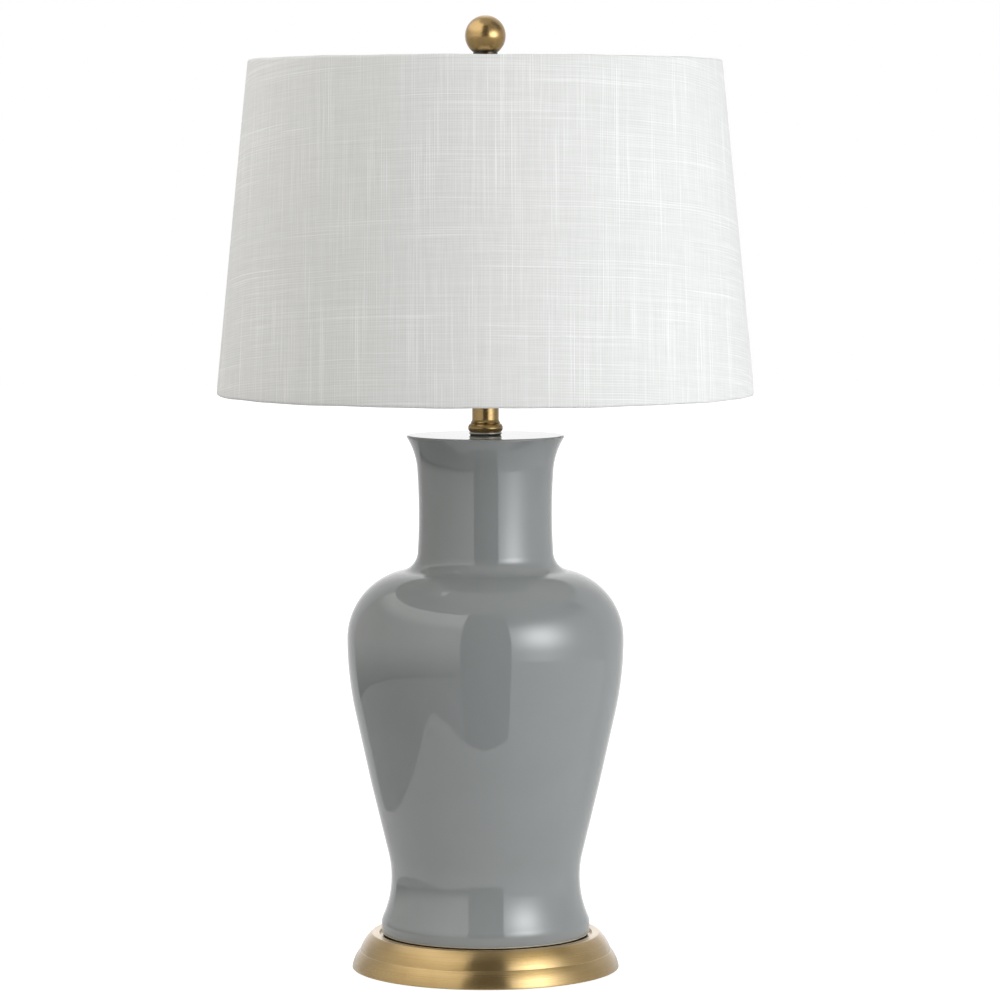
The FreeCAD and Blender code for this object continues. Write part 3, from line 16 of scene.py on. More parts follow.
import bmesh
import bpy
import numpy as np
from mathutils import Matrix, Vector


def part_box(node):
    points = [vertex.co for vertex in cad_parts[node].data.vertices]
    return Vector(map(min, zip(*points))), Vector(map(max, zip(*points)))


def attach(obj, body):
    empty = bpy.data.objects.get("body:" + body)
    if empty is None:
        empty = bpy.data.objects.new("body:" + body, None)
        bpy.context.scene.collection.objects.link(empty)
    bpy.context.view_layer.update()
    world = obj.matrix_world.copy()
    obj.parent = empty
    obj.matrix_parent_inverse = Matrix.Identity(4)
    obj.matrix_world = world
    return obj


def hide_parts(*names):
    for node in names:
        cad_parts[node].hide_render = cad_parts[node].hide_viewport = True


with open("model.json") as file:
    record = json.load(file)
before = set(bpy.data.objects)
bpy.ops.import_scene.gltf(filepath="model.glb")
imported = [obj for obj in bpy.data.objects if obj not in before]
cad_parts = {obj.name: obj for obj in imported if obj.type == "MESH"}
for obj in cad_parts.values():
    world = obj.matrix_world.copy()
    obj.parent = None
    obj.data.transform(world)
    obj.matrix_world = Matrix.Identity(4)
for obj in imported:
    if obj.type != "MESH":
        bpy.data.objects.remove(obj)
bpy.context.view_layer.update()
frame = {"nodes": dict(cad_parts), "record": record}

log = logging.getLogger("lamp")
MM = 0.001
WHITE = "#FFFFFF"
PATTERN_MAP = "pattern"
# Most of a noise lies between these values.
NOISE_SPAN = (0.3, 0.7)
Point = tuple[float, float]
Corner = tuple[float, ...]
Span = tuple[float, float]
Source = bpy.types.Node | bpy.types.NodeSocket


def linear(code: str) -> tuple[float, float, float, float]:
    """Turn an sRGB hex value into a linear colour.

    Args:
        code: Colour such as "#C8A060".

    Returns:
        Red, green, blue and alpha.
    """
    channels = [int(code[start:start + 2], 16) / 255 for start in (1, 3, 5)]
    return (*[c / 12.92 if c <= 0.04045 else ((c + 0.055) / 1.055) ** 2.4 for c in channels], 1.0)


def feed(tree: bpy.types.NodeTree, node: bpy.types.Node, inputs: dict) -> None:
    """Give a node's inputs their values or sources.

    Args:
        tree: Tree of a material, a world or a modifier.
        node: One of its nodes.
        inputs: Values or sources by the input's name or number. A node stands for its first output.
    """
    for key, value in inputs.items():
        if isinstance(value, bpy.types.Node):
            value = value.outputs[0]
        if isinstance(value, bpy.types.NodeSocket):
            tree.links.new(value, node.inputs[key])
        else:
            node.inputs[key].default_value = value


def add_node(tree: bpy.types.NodeTree, kind: str, inputs: dict | None = None, **settings) -> bpy.types.Node:
    """Add a node with its settings and links.

    Args:
        tree: Tree of a material, a world or a modifier.
        kind: Blender's own name for the kind of node.
        inputs: Values or sources for its inputs, as feed takes them.
        **settings: Properties of the node.

    Returns:
        The new node.
    """
    node = tree.nodes.new(kind)
    for name, value in settings.items():
        setattr(node, name, value)
    feed(tree, node, inputs or {})
    return node


@dataclass
class Skin:
    """A material in the making, with the tree and the shader that its finish dresses."""

    name: str
    material: bpy.types.Material = field(init=False)
    tree: bpy.types.NodeTree = field(init=False)
    shader: bpy.types.Node = field(init=False)

    def __post_init__(self) -> None:
        """Start the material."""
        self.material = bpy.data.materials.new(self.name)
        self.material.use_nodes = True
        self.tree = self.material.node_tree
        self.shader = self.tree.nodes["Principled BSDF"]

    def place(self) -> bpy.types.NodeSocket:
        """Return the place on the piece, in metres."""
        return self.add("ShaderNodeTexCoord").outputs["Object"]

    def add(self, kind: str, inputs: dict | None = None, **settings) -> bpy.types.Node:
        """Add a node to this material, as add_node does."""
        return add_node(self.tree, kind, inputs, **settings)

    def shine(self, inputs: dict) -> None:
        """Give the shader's inputs their values or sources, as feed does."""
        feed(self.tree, self.shader, inputs)


class Working(Enum):
    """How a metal surface was made, which sets how its fine lines run."""

    TURNED = "round the axis"
    DRAWN = "no lines"


@dataclass(frozen=True)
class Finish:
    """A finish on one material: its colour and gloss, and in its subclasses its pattern.

    The base class is a moulded or dipped surface: an even colour with a fine grain and faint clouds.
    """

    name: str
    colour: str
    roughness: float
    metallic: float = 0.0
    ior: float = 1.5
    grain: float = 0.6
    depth: float = 0.01
    clouds: float = 0.04
    cloud_size: float = 14.0
    gloss_change: float = 0.1

    def material(self) -> bpy.types.Material:
        """Return the material, which is made the first time it is asked for.

        Returns:
            The material.
        """
        found = bpy.data.materials.get(self.name)
        if found:
            return found
        skin = Skin(self.name)
        skin.shine({"Base Color": linear(self.colour), "Roughness": self.roughness,
                    "Metallic": self.metallic, "IOR": self.ior})
        self.dress(skin)
        return skin.material

    def dress(self, skin: Skin) -> None:
        """Add the pattern of the surface.

        Args:
            skin: The material in the making.
        """
        place = skin.place()
        fine = skin.add("ShaderNodeTexNoise", {
            "Vector": place, "Scale": 1 / (self.grain * MM), "Detail": 3.0})
        broad = skin.add("ShaderNodeTexNoise", {
            "Vector": place, "Scale": 1 / (self.cloud_size * MM), "Detail": 2.0})
        self.shade(skin, broad)
        self.raise_surface(skin, fine, self.depth)

    def shade(self, skin: Skin, pattern: bpy.types.Node) -> None:
        """Let the colour's value and the roughness follow a pattern.

        Args:
            skin: The material in the making.
            pattern: Node with values about 0.5.
        """
        low, high = NOISE_SPAN
        value = skin.add("ShaderNodeMapRange", {
            "Value": pattern, "From Min": low, "From Max": high,
            "To Min": 1 - self.clouds, "To Max": 1 + self.clouds})
        tint = skin.add("ShaderNodeHueSaturation", {"Value": value, "Color": linear(self.colour)})
        skin.shine({"Base Color": tint})
        self.vary_gloss(skin, pattern)

    def vary_gloss(self, skin: Skin, pattern: bpy.types.Node) -> None:
        """Let the roughness follow a pattern.

        Args:
            skin: The material in the making.
            pattern: Node with values about 0.5.
        """
        low, high = NOISE_SPAN
        gloss = skin.add("ShaderNodeMapRange", {
            "Value": pattern, "From Min": low, "From Max": high,
            "To Min": self.roughness * (1 - self.gloss_change),
            "To Max": min(self.roughness * (1 + self.gloss_change), 1.0)})
        skin.shine({"Roughness": gloss})

    def raise_surface(self, skin: Skin, pattern: bpy.types.Node, depth: float,
                      below: bpy.types.Node | None = None) -> bpy.types.Node:
        """Let the normal follow a pattern.

        Args:
            skin: The material in the making.
            pattern: Node with values between 0 and 1.
            depth: Height of the pattern in millimetres.
            below: Bump that this one lies on.

        Returns:
            The bump node.
        """
        inputs = {"Height": pattern, "Distance": depth * MM, "Strength": 1.0}
        if below:
            inputs["Normal"] = below
        bump = skin.add("ShaderNodeBump", inputs)
        skin.shine({"Normal": bump})
        return bump


@dataclass(frozen=True)
class Metal(Finish):
    """Metal with the fine lines of its working, a thin tarnish, a lacquer's soft gloss, and where asked a
    painted shade low down.
    """

    metallic: float = 1.0
    working: Working = Working.TURNED
    line: float = 0.5
    depth: float = 0.004
    cloud_size: float = 22.0
    gloss_change: float = 0.15
    tarnish: str = "#6A5230"
    tarnish_share: float = 0.25
    cloud_span: Span = (0.42, 0.75)
    streak_span: Span = (0.35, 0.65)
    smear: float = 0.0
    smear_turn: float = 0.25
    lacquer: float = 0.0
    lacquer_roughness: float = 0.2
    # Height in millimetres below which the colour is darkened to near black as painted shade, or 0 for none.
    painted_shade_height: float = 0.0
    painted_shade_fade: float = 1.6
    painted_shade_share: float = 0.92
    painted_shade_colour: str = "#120C06"

    def dress(self, skin: Skin) -> None:
        """Add lines round the axis or a fine grain, tarnish in soft clouds with any painted shade low down,
        and the lacquer.

        Args:
            skin: The material in the making.
        """
        place = skin.place()
        if self.working is Working.TURNED:
            lines = self.turned_lines(skin, place)
        else:
            lines = skin.add("ShaderNodeTexNoise", {
                "Vector": place, "Scale": 1 / (self.line * MM), "Detail": 4.0})
        skin.shine({"Base Color": self.toned(skin, place, lines).outputs[2]})
        self.vary_gloss(skin, lines)
        self.raise_surface(skin, lines, self.depth)
        if self.lacquer:
            # A clear coat over the toned metal: its own white shine lies over the coloured one.
            skin.shine({"Coat Weight": self.lacquer, "Coat Roughness": self.lacquer_roughness})
        if self.smear:
            # Lines round the axis smear a reflection across them, so the shine stands up in fans.
            around = skin.add("ShaderNodeTangent", direction_type="RADIAL", axis="Z")
            skin.shine({"Anisotropic": self.smear, "Anisotropic Rotation": self.smear_turn,
                        "Tangent": around})

    def toned(self, skin: Skin, place: bpy.types.NodeSocket, lines: bpy.types.Node) -> bpy.types.Node:
        """Mix the metal's colour with its tarnish, and darken it below a height as painted shade.

        Args:
            skin: The material in the making.
            place: Place on the piece.
            lines: Node with the lines of the working.

        Returns:
            Mix node with the colour.
        """
        clouds = skin.add("ShaderNodeTexNoise", {
            "Vector": place, "Scale": 1 / (self.cloud_size * MM), "Detail": 5.0})
        shares = [skin.add("ShaderNodeMapRange", {
            "Value": pattern, "From Min": low, "From Max": high, "To Min": 0.0, "To Max": self.tarnish_share})
            for pattern, (low, high) in ((clouds, self.cloud_span), (lines, self.streak_span))]
        both = skin.add("ShaderNodeMath", dict(enumerate(shares)), operation="ADD", use_clamp=True)
        colour = skin.add("ShaderNodeMix", {
            "Factor": both, 6: linear(self.colour), 7: linear(self.tarnish)}, data_type="RGBA")
        if not self.painted_shade_height:
            return colour
        # Painted shade: below the given height the colour fades to near black.
        height = skin.add("ShaderNodeSeparateXYZ", {"Vector": place}).outputs[2]
        dark = skin.add("ShaderNodeMapRange", {
            "Value": height, "From Min": (self.painted_shade_height - self.painted_shade_fade) * MM,
            "From Max": self.painted_shade_height * MM, "To Min": self.painted_shade_share, "To Max": 0.0})
        return skin.add("ShaderNodeMix", {
            "Factor": dark, 6: colour.outputs[2], 7: linear(self.painted_shade_colour)}, data_type="RGBA")

    def turned_lines(self, skin: Skin, place: bpy.types.NodeSocket) -> bpy.types.Node:
        """Return noise that is stretched round the axis, with no seam.

        Args:
            skin: The material in the making.
            place: Place on the piece.

        Returns:
            Node with the lines' height.
        """
        parts = skin.add("ShaderNodeSeparateXYZ", {"Vector": place})
        flat = skin.add("ShaderNodeCombineXYZ", {"X": parts.outputs[0], "Y": parts.outputs[1]})
        radius = skin.add("ShaderNodeVectorMath", {0: flat}, operation="LENGTH").outputs["Value"]
        way = skin.add("ShaderNodeVectorMath", {0: flat}, operation="NORMALIZE")
        up, out = (skin.add("ShaderNodeMath", {0: reach, 1: 1 / (self.line * MM)}, operation="MULTIPLY")
                   for reach in (parts.outputs[2], radius))
        lift = skin.add("ShaderNodeCombineXYZ", {"Z": up})
        where = skin.add("ShaderNodeVectorMath", {0: way, 1: lift}, operation="ADD")
        return skin.add("ShaderNodeTexNoise", {"Vector": where, "W": out, "Scale": 1.0, "Detail": 4.0},
                        noise_dimensions="4D")


@dataclass(frozen=True)
class Glaze(Finish):
    """Fired gloss glaze on stoneware: a glassy skin, pooled a little darker, over a few iron specks."""

    cloud_size: float = 38.0
    pool: str = "#828786"
    pool_span: Span = (0.35, 0.7)
    pool_share: float = 0.35
    # One speck shows on about every 25 square centimetres.
    speck: str = "#5E625C"
    speck_size: float = 0.42
    speck_spacing: float = 7.0
    speck_share: float = 0.3
    speck_strength: float = 0.45
    wave: float = 55.0
    wave_depth: float = 0.05

    def dress(self, skin: Skin) -> None:
        """Add the glaze's clouds, its specks, its orange peel and the long waves of the clay.

        Args:
            skin: The material in the making.
        """
        place = skin.place()
        clouds = skin.add("ShaderNodeTexNoise", {
            "Vector": place, "Scale": 1 / (self.cloud_size * MM), "Detail": 3.0})
        pooled = skin.add("ShaderNodeMapRange", {
            "Value": clouds, "From Min": self.pool_span[0], "From Max": self.pool_span[1],
            "To Min": 0.0, "To Max": self.pool_share})
        body = skin.add("ShaderNodeMix", {
            "Factor": pooled, 6: linear(self.colour), 7: linear(self.pool)}, data_type="RGBA")
        cells = skin.add("ShaderNodeTexVoronoi", {"Vector": place, "Scale": 1 / (self.speck_spacing * MM)})
        near = skin.add("ShaderNodeMath", {
            0: cells.outputs["Distance"], 1: self.speck_size / 2 / self.speck_spacing}, operation="LESS_THAN")
        rare = skin.add("ShaderNodeSeparateXYZ", {"Vector": cells.outputs["Color"]})
        few = skin.add("ShaderNodeMath", {0: rare, 1: self.speck_share}, operation="LESS_THAN")
        both = skin.add("ShaderNodeMath", {0: near, 1: few}, operation="MULTIPLY")
        specks = skin.add("ShaderNodeMath", {0: both, 1: self.speck_strength}, operation="MULTIPLY")
        colour = skin.add("ShaderNodeMix", {
            "Factor": specks, 6: body.outputs[2], 7: linear(self.speck)}, data_type="RGBA")
        skin.shine({"Base Color": colour.outputs[2]})
        long_wave = skin.add("ShaderNodeTexNoise", {
            "Vector": place, "Scale": 1 / (self.wave * MM), "Detail": 1.0})
        peel = skin.add("ShaderNodeTexNoise", {
            "Vector": place, "Scale": 1 / (self.grain * MM), "Detail": 2.0})
        below = self.raise_surface(skin, long_wave, self.wave_depth)
        self.raise_surface(skin, peel, self.depth, below)


@dataclass(frozen=True)
class Weave(Finish):
    """Plain weave of uneven linen yarn, read on the flat pattern of the cloth."""

    specular: float = 0.2
    shadow: str = "#DADAD8"
    # The real yarns lie 0.5 mm apart. They are drawn 0.9 mm apart, because finer ones don't show.
    yarn: float = 0.9
    yarn_run: float = 24.0
    yarn_share: float = 0.4
    # For the upright and the level set: how much paler its thick yarns are, and its place in the noise.
    sets: tuple[tuple[float, float], ...] = ((0.62, 3.1), (0.38, 7.7))
    noise_apart: float = 20.0
    line: float = 0.7
    line_run: float = 150.0
    line_span: Span = (0.6, 0.63)
    bunch: float = 14.0
    bunch_run: float = 105.0
    bunch_span: Span = (0.42, 0.58)
    bunch_least: float = 0.3
    ridge: float = 1.9
    ridge_share: float = 0.1
    tone_span: Span = (0.15, 1.05)
    depth: float = 0.03

    def dress(self, skin: Skin) -> None:
        """Add both sets of yarns, and the paler thick yarns that lie in bunches, upright ones most.

        Args:
            skin: The material in the making.
        """
        pattern = skin.add("ShaderNodeUVMap", uv_map=PATTERN_MAP)
        sets = {}
        for across, (share, seed) in enumerate(self.sets):
            fine = self.threads(skin, pattern, across, self.yarn, self.yarn_run, seed)
            thick = self.threads(skin, pattern, across, self.line, self.line_run, seed + self.noise_apart)
            pale = skin.add("ShaderNodeMapRange", {
                "Value": thick, "From Min": self.line_span[0], "From Max": self.line_span[1],
                "To Min": 0.0, "To Max": share})
            ridges = self.ridges(skin, pattern, across)
            lines = skin.add("ShaderNodeMath", {
                0: ridges, 1: self.ridge_share, 2: pale}, operation="MULTIPLY_ADD")
            third = seed + 2 * self.noise_apart
            bunches = self.threads(skin, pattern, across, self.bunch, self.bunch_run, third)
            here = skin.add("ShaderNodeMapRange", {
                "Value": bunches, "From Min": self.bunch_span[0], "From Max": self.bunch_span[1],
                "To Min": self.bunch_least, "To Max": 1.0})
            bunched = skin.add("ShaderNodeMath", {0: lines, 1: here}, operation="MULTIPLY")
            sets[across] = skin.add("ShaderNodeMath", {
                0: fine, 1: self.yarn_share, 2: bunched}, operation="MULTIPLY_ADD")
        weave = skin.add("ShaderNodeMath", sets, operation="ADD")
        tone = skin.add("ShaderNodeMapRange", {
            "Value": weave, "From Min": self.tone_span[0], "From Max": self.tone_span[1],
            "To Min": 0.0, "To Max": 1.0})
        colour = skin.add("ShaderNodeMix", {
            "Factor": tone, 6: linear(self.shadow), 7: linear(self.colour)}, data_type="RGBA")
        skin.shine({"Base Color": colour.outputs[2], "Specular IOR Level": self.specular})
        self.raise_surface(skin, weave, self.depth)

    def ridges(self, skin: Skin, pattern: bpy.types.Node, across: int) -> bpy.types.Node:
        """Return the even ridges of the warp or the weft, one to every few yarns.

        Args:
            skin: The material in the making.
            pattern: Node with the place on the flat cloth, in metres.
            across: 0 for upright ridges, 1 for level ones.

        Returns:
            Node with values about 0.
        """
        parts = skin.add("ShaderNodeSeparateXYZ", {"Vector": pattern})
        phase = skin.add("ShaderNodeMath", {
            0: parts.outputs[across], 1: 2 * math.pi / (self.ridge * MM)}, operation="MULTIPLY")
        return skin.add("ShaderNodeMath", {0: phase}, operation="SINE")

    def threads(self, skin: Skin, pattern: bpy.types.Node, across: int, width: float, run: float,
                seed: float) -> bpy.types.Node:
        """Return noise drawn out along one set of yarns.

        Args:
            skin: The material in the making.
            pattern: Node with the place on the flat cloth, in metres.
            across: 0 for upright yarns, 1 for level ones.
            width: Width of a yarn in millimetres.
            run: Length over which a yarn keeps its thickness, in millimetres.
            seed: Place in the noise.

        Returns:
            Node with the yarns' height.
        """
        scale = [1 / (run * MM), 1 / (run * MM), 1.0]
        scale[across] = 1 / (width * MM)
        drawn = skin.add("ShaderNodeMapping", {
            "Vector": pattern, "Scale": scale, "Location": (0.0, 0.0, seed)})
        return skin.add("ShaderNodeTexNoise", {"Vector": drawn, "Scale": 1.0, "Detail": 1.0})


@dataclass(frozen=True)
class Fibres(Finish):
    """Matted or pressed fibres: felt and fibre board."""

    fleck: str = "#3A3632"
    swirl: float = 3.0
    swirl_reach: float = 4.0
    fibre_width: float = 0.12

    def dress(self, skin: Skin) -> None:
        """Add short crossing fibres, lighter than the ground, and a nap.

        Args:
            skin: The material in the making.
        """
        place = skin.place()
        bent = skin.add("ShaderNodeTexNoise", {
            "Vector": place, "Scale": 1 / (self.swirl * MM), "Detail": 4.0})
        moved = skin.add("ShaderNodeVectorMath", {
            0: bent.outputs["Color"], 1: (self.swirl_reach * MM,) * 3}, operation="MULTIPLY")
        swirled = skin.add("ShaderNodeVectorMath", {0: place, 1: moved}, operation="ADD")
        fibres = skin.add("ShaderNodeTexVoronoi", {
            "Vector": swirled, "Scale": 1 / (self.grain * MM)}, feature="DISTANCE_TO_EDGE")
        thin = skin.add("ShaderNodeMapRange", {
            "Value": fibres, "From Min": 0.0, "From Max": self.fibre_width, "To Min": 1.0, "To Max": 0.0})
        colour = skin.add("ShaderNodeMix", {
            "Factor": thin, 6: linear(self.colour), 7: linear(self.fleck)}, data_type="RGBA")
        skin.shine({"Base Color": colour.outputs[2]})
        self.raise_surface(skin, thin, self.depth)


@dataclass(frozen=True)
class Cells(Finish):
    """Closed cells or a sand-cast skin: round pits close together."""

    def dress(self, skin: Skin) -> None:
        """Add the pits and their darker floors.

        Args:
            skin: The material in the making.
        """
        pits = skin.add("ShaderNodeTexVoronoi", {
            "Vector": skin.place(), "Scale": 1 / (self.grain * MM)}, feature="SMOOTH_F1")
        self.shade(skin, pits)
        self.raise_surface(skin, pits, self.depth)


# Gloss glaze, fired on stoneware: a cool grey with a hint of green, mirror-like.
GLAZE = Glaze("grey_green_glaze", "#898C8C", 0.035, ior=1.68, grain=5.0, depth=0.006)
# Bare stoneware where the glaze was wiped off the foot: cream, dry and gritty.
BISQUE = Finish("cream_stoneware", "#D8CBB0", 0.85, grain=0.5, depth=0.03, clouds=0.08)
# Spun sheet brass, brushed on the lathe, toned and lacquered: satin, with standing fans of light.
BASE_BRASS = Metal("brushed_brass", "#C1A36C", 0.3, line=0.45, smear=0.95, tarnish="#A08048",
                   tarnish_share=0.3, lacquer=0.8)
# Turned brass with a finer cut than the base, toned and lacquered: a soft deep shine.
NECK_BRASS = Metal("turned_brass", "#A68B58", 0.25, line=0.3, depth=0.002, smear=0.4, tarnish="#80622F",
                   tarnish_share=0.3, lacquer=0.7)
# Ball and collar: buffed before toning, so a soft satin without lines. Painted shade darkens the underside of
# the ball and the collar below it.
BALL_BRASS = Metal("satin_brass", "#BD9D67", 0.26, working=Working.DRAWN, line=0.25, depth=0.001,
                   tarnish="#94743E", lacquer=0.6, painted_shade_height=697.6)
# Drawn socket shell: bright dipped and lacquered, with faint draw lines.
SOCKET_BRASS = Metal("bright_brass", "#D6B25E", 0.2, line=0.35, depth=0.002, tarnish="#A88440")
# Harp wire and saddle: plated over steel, so an even thin shine.
HARP_BRASS = Metal("brass_plate", "#C4A050", 0.24, working=Working.DRAWN, line=0.3, depth=0.002,
                   tarnish="#8E7034")
# Rolled nickel plate: cool and bright.
NICKEL = Metal("nickel_plate", "#C2BFB8", 0.16, line=0.3, depth=0.002, tarnish="#8C8880")
# Zinc plate on machine-made steel: pale, a little blue and dull.
ZINC = Metal("zinc_plate", "#B4B6B6", 0.38, working=Working.DRAWN, line=0.4, depth=0.003, tarnish="#84827A")
# Rolled aluminium of a bulb's cap: pale and slightly dull.
BULB_CAP = Metal("rolled_aluminium", "#C6C6C4", 0.28, line=0.35, depth=0.002, tarnish="#9A9A98")
# Tinned lead-free solder: a soft bright drop.
SOLDER = Metal("tinned_solder", "#BDBEC0", 0.32, working=Working.DRAWN, line=0.4, depth=0.01,
               tarnish="#909296")
# Grey iron from a sand mould, painted black: rough with small pits.
IRON = Cells("cast_iron", "#26262A", 0.62, metallic=0.2, grain=1.1, depth=0.12, clouds=0.25)
# Pressed wool felt: dark, with a nap of short pale fibres.
FELT = Fibres("pressed_felt", "#241F1C", 1.0, grain=0.7, depth=0.1, fleck="#4A423C")
# Closed-cell foam tape under the jar's foot: dark brown, matt.
FOAM = Cells("closed_cell_foam", "#1E1410", 0.9, grain=0.5, depth=0.08, clouds=0.3)
# Vulcanised rubber cut from sheet: black and matt, with a faint bloom.
RUBBER = Finish("black_rubber", "#161616", 0.6, grain=0.4, depth=0.01, clouds=0.15)
# Injection-moulded black plastic: smooth, with a slight spark-eroded grain.
BLACK_MOULDING = Finish("black_moulding", "#1B1918", 0.36, grain=0.25, depth=0.008, clouds=0.1)
# Compression-moulded phenolic with its filler showing in faint clouds.
PHENOLIC = Finish("brown_phenolic", "#33231A", 0.42, grain=0.5, depth=0.006, clouds=0.3)
# Pressed fibre board: tan, with pale crossing fibres.
BOARD = Fibres("fibre_board", "#9C8468", 0.9, grain=0.6, depth=0.03, fleck="#B8A286")
# Plain-woven flax with thick and thin yarns: off-white and matt, with pale lines that cross.
LINEN = Weave("slub_linen", "#F4F4F3", 0.92)
# The slubs are the same flax, less tightly spun, so they lie on the cloth as thick pale yarns.
SLUB = Finish("linen_slub", "#E6E6E5", 0.9, grain=0.4, depth=0.02, clouds=0.02)
# Calendered styrene sheet: white with a low sheen.
STYRENE = Finish("white_styrene", "#F0F0EC", 0.42, grain=1.5, depth=0.004, clouds=0.02)
# Stove enamel dipped on wire: white, thick and glossy with a slight peel.
ENAMEL = Finish("white_enamel", "#EDEDE8", 0.25, grain=1.8, depth=0.02, clouds=0.03)
# Injection-moulded white plastic: smooth, with a low gloss.
BULB_BODY = Finish("white_moulding", "#EFEFEA", 0.32, grain=0.4, depth=0.004, clouds=0.02)
# Opal diffuser: milky, satin outside.
OPAL = Finish("opal_polycarbonate", "#F4F4F0", 0.45, ior=1.58, grain=0.8, depth=0.003, clouds=0.02)
# Glass fused into the bulb's cap as its insulator: black and shiny.
BLACK_GLASS = Finish("black_glass", "#101014", 0.08, grain=2.0, depth=0.004, clouds=0.1)
# Solder mask printed on the bulb's board: white and satin.
SOLDER_MASK = Finish("white_solder_mask", "#E6E6E0", 0.5, grain=0.5, depth=0.006, clouds=0.05)

SLOT_FINISHES: dict[str, Finish] = {
    "glaze": GLAZE, "base_brass": BASE_BRASS, "neck_brass": NECK_BRASS, "finial_brass": BALL_BRASS,
    "socket_brass": SOCKET_BRASS, "harp_brass": HARP_BRASS, "nickel": NICKEL, "zinc_steel": ZINC,
    "cast_iron": IRON, "felt": FELT, "foam": FOAM, "black_rubber": RUBBER, "black_moulding": BLACK_MOULDING,
    "phenolic": PHENOLIC, "board": BOARD, "linen": LINEN, "styrene": STYRENE, "white_enamel": ENAMEL,
    "bulb_white": BULB_BODY, "bulb_opal": OPAL, "bulb_nickel": BULB_CAP, "bulb_glass": BLACK_GLASS,
    "solder": SOLDER, "light_board": SOLDER_MASK,
}


# A radius in millimetres that counts as on the axis, and a distance in metres that counts as none.
ON_AXIS = 1e-6
SAME_PLACE = 1e-7


def level(node: str) -> float:
    """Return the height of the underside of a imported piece, in millimetres."""
    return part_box(node)[0].z / MM


def bend_points(start: Point, end: Point, bend: float, step: float) -> list[Point]:
    """Return points along an arc, without its last one.

    Args:
        start: Where the arc starts.
        end: Where it ends.
        bend: Its radius, + with the centre on the left of the way, - with the centre on the right.
        step: Largest turn between two points, in degrees.

    Returns:
        Points from the start on.
    """
    across, up = end[0] - start[0], end[1] - start[1]
    chord = math.hypot(across, up)
    offset = math.copysign(math.sqrt(max(bend * bend - chord * chord / 4, 0)), bend) / chord
    centre = ((start[0] + end[0]) / 2 - up * offset, (start[1] + end[1]) / 2 + across * offset)
    first = math.atan2(start[1] - centre[1], start[0] - centre[0])
    turn = math.copysign(2 * math.asin(min(chord / 2 / abs(bend), 1)), bend)
    count = max(2, math.ceil(math.degrees(abs(turn)) / step))
    angles = [first + turn * number / count for number in range(count)]
    return [(centre[0] + abs(bend) * math.cos(angle), centre[1] + abs(bend) * math.sin(angle))
            for angle in angles]


def trace(corners: Sequence[Corner], step: float, longest: float) -> list[Point]:
    """Turn the corners of a closed half section into points.

    Args:
        corners: (across, up) or (across, up, bend of the edge that follows).
        step: Largest turn along a bend, in degrees.
        longest: Longest straight edge, in millimetres.

    Returns:
        Points of the loop.
    """
    points: list[Point] = []
    for number, corner in enumerate(corners):
        start, end = corner[:2], corners[(number + 1) % len(corners)][:2]
        if len(corner) > 2:
            points += bend_points(start, end, corner[2], step)
        else:
            pieces = max(1, math.ceil(math.dist(start, end) / longest))
            points += [(start[0] + (end[0] - start[0]) * part / pieces,
                        start[1] + (end[1] - start[1]) * part / pieces) for part in range(pieces)]
    return points


def eased(corners: Sequence[Corner], ease: float, edge_share: float = 0.4,
          straight: float = 170.0) -> list[Corner]:
    """Round the corners between two straight edges.

    Args:
        corners: Corners of a half section, as trace takes them.
        ease: Radius of the rounding at a square corner, in millimetres.
        edge_share: Largest share of an edge that a rounding takes.
        straight: Angle between two edges from which on their corner stays, in degrees.

    Returns:
        The corners with a small bend in place of each sharp one off the axis.
    """
    rounded: list[Corner] = []
    for number, corner in enumerate(corners):
        before, after = corners[number - 1], corners[(number + 1) % len(corners)]
        back = Vector((before[0] - corner[0], before[1] - corner[1]))
        on = Vector((after[0] - corner[0], after[1] - corner[1]))
        angle = back.angle(on)
        if len(before) > 2 or len(corner) > 2 or corner[0] < ease or angle > math.radians(straight):
            rounded.append(corner)
            continue
        room = min(ease, back.length * edge_share, on.length * edge_share)
        side = 1 if back.x * on.y - back.y * on.x < 0 else -1
        start, end = back.normalized() * room, on.normalized() * room
        rounded.append((corner[0] + start.x, corner[1] + start.y, side * room * math.tan(angle / 2)))
        rounded.append((corner[0] + end.x, corner[1] + end.y))
    return rounded


@dataclass(frozen=True)
class Wave:
    """One of the waves that make a turned edge or wall uneven: its count round the axis, strength and start.

    It winds by one radian for each climb, in millimetres, up the wall.
    """

    count: int
    strength: float
    start: float
    climb: float = math.inf


def waves(parts: Sequence[Wave], turn: np.ndarray, up: np.ndarray) -> np.ndarray:
    """Add up waves round the axis.

    Args:
        parts: The waves.
        turn: Angles from the front.
        up: Heights in millimetres.

    Returns:
        Their sum at each point.
    """
    return sum(part.strength * np.sin(part.count * turn + up / part.climb + part.start) for part in parts)


Shift = Callable[[np.ndarray, np.ndarray, np.ndarray], tuple[np.ndarray, np.ndarray]]


def even_turns(columns: int) -> np.ndarray:
    """Return evenly spaced angles round the axis."""
    return np.arange(columns) * 2 * math.pi / columns


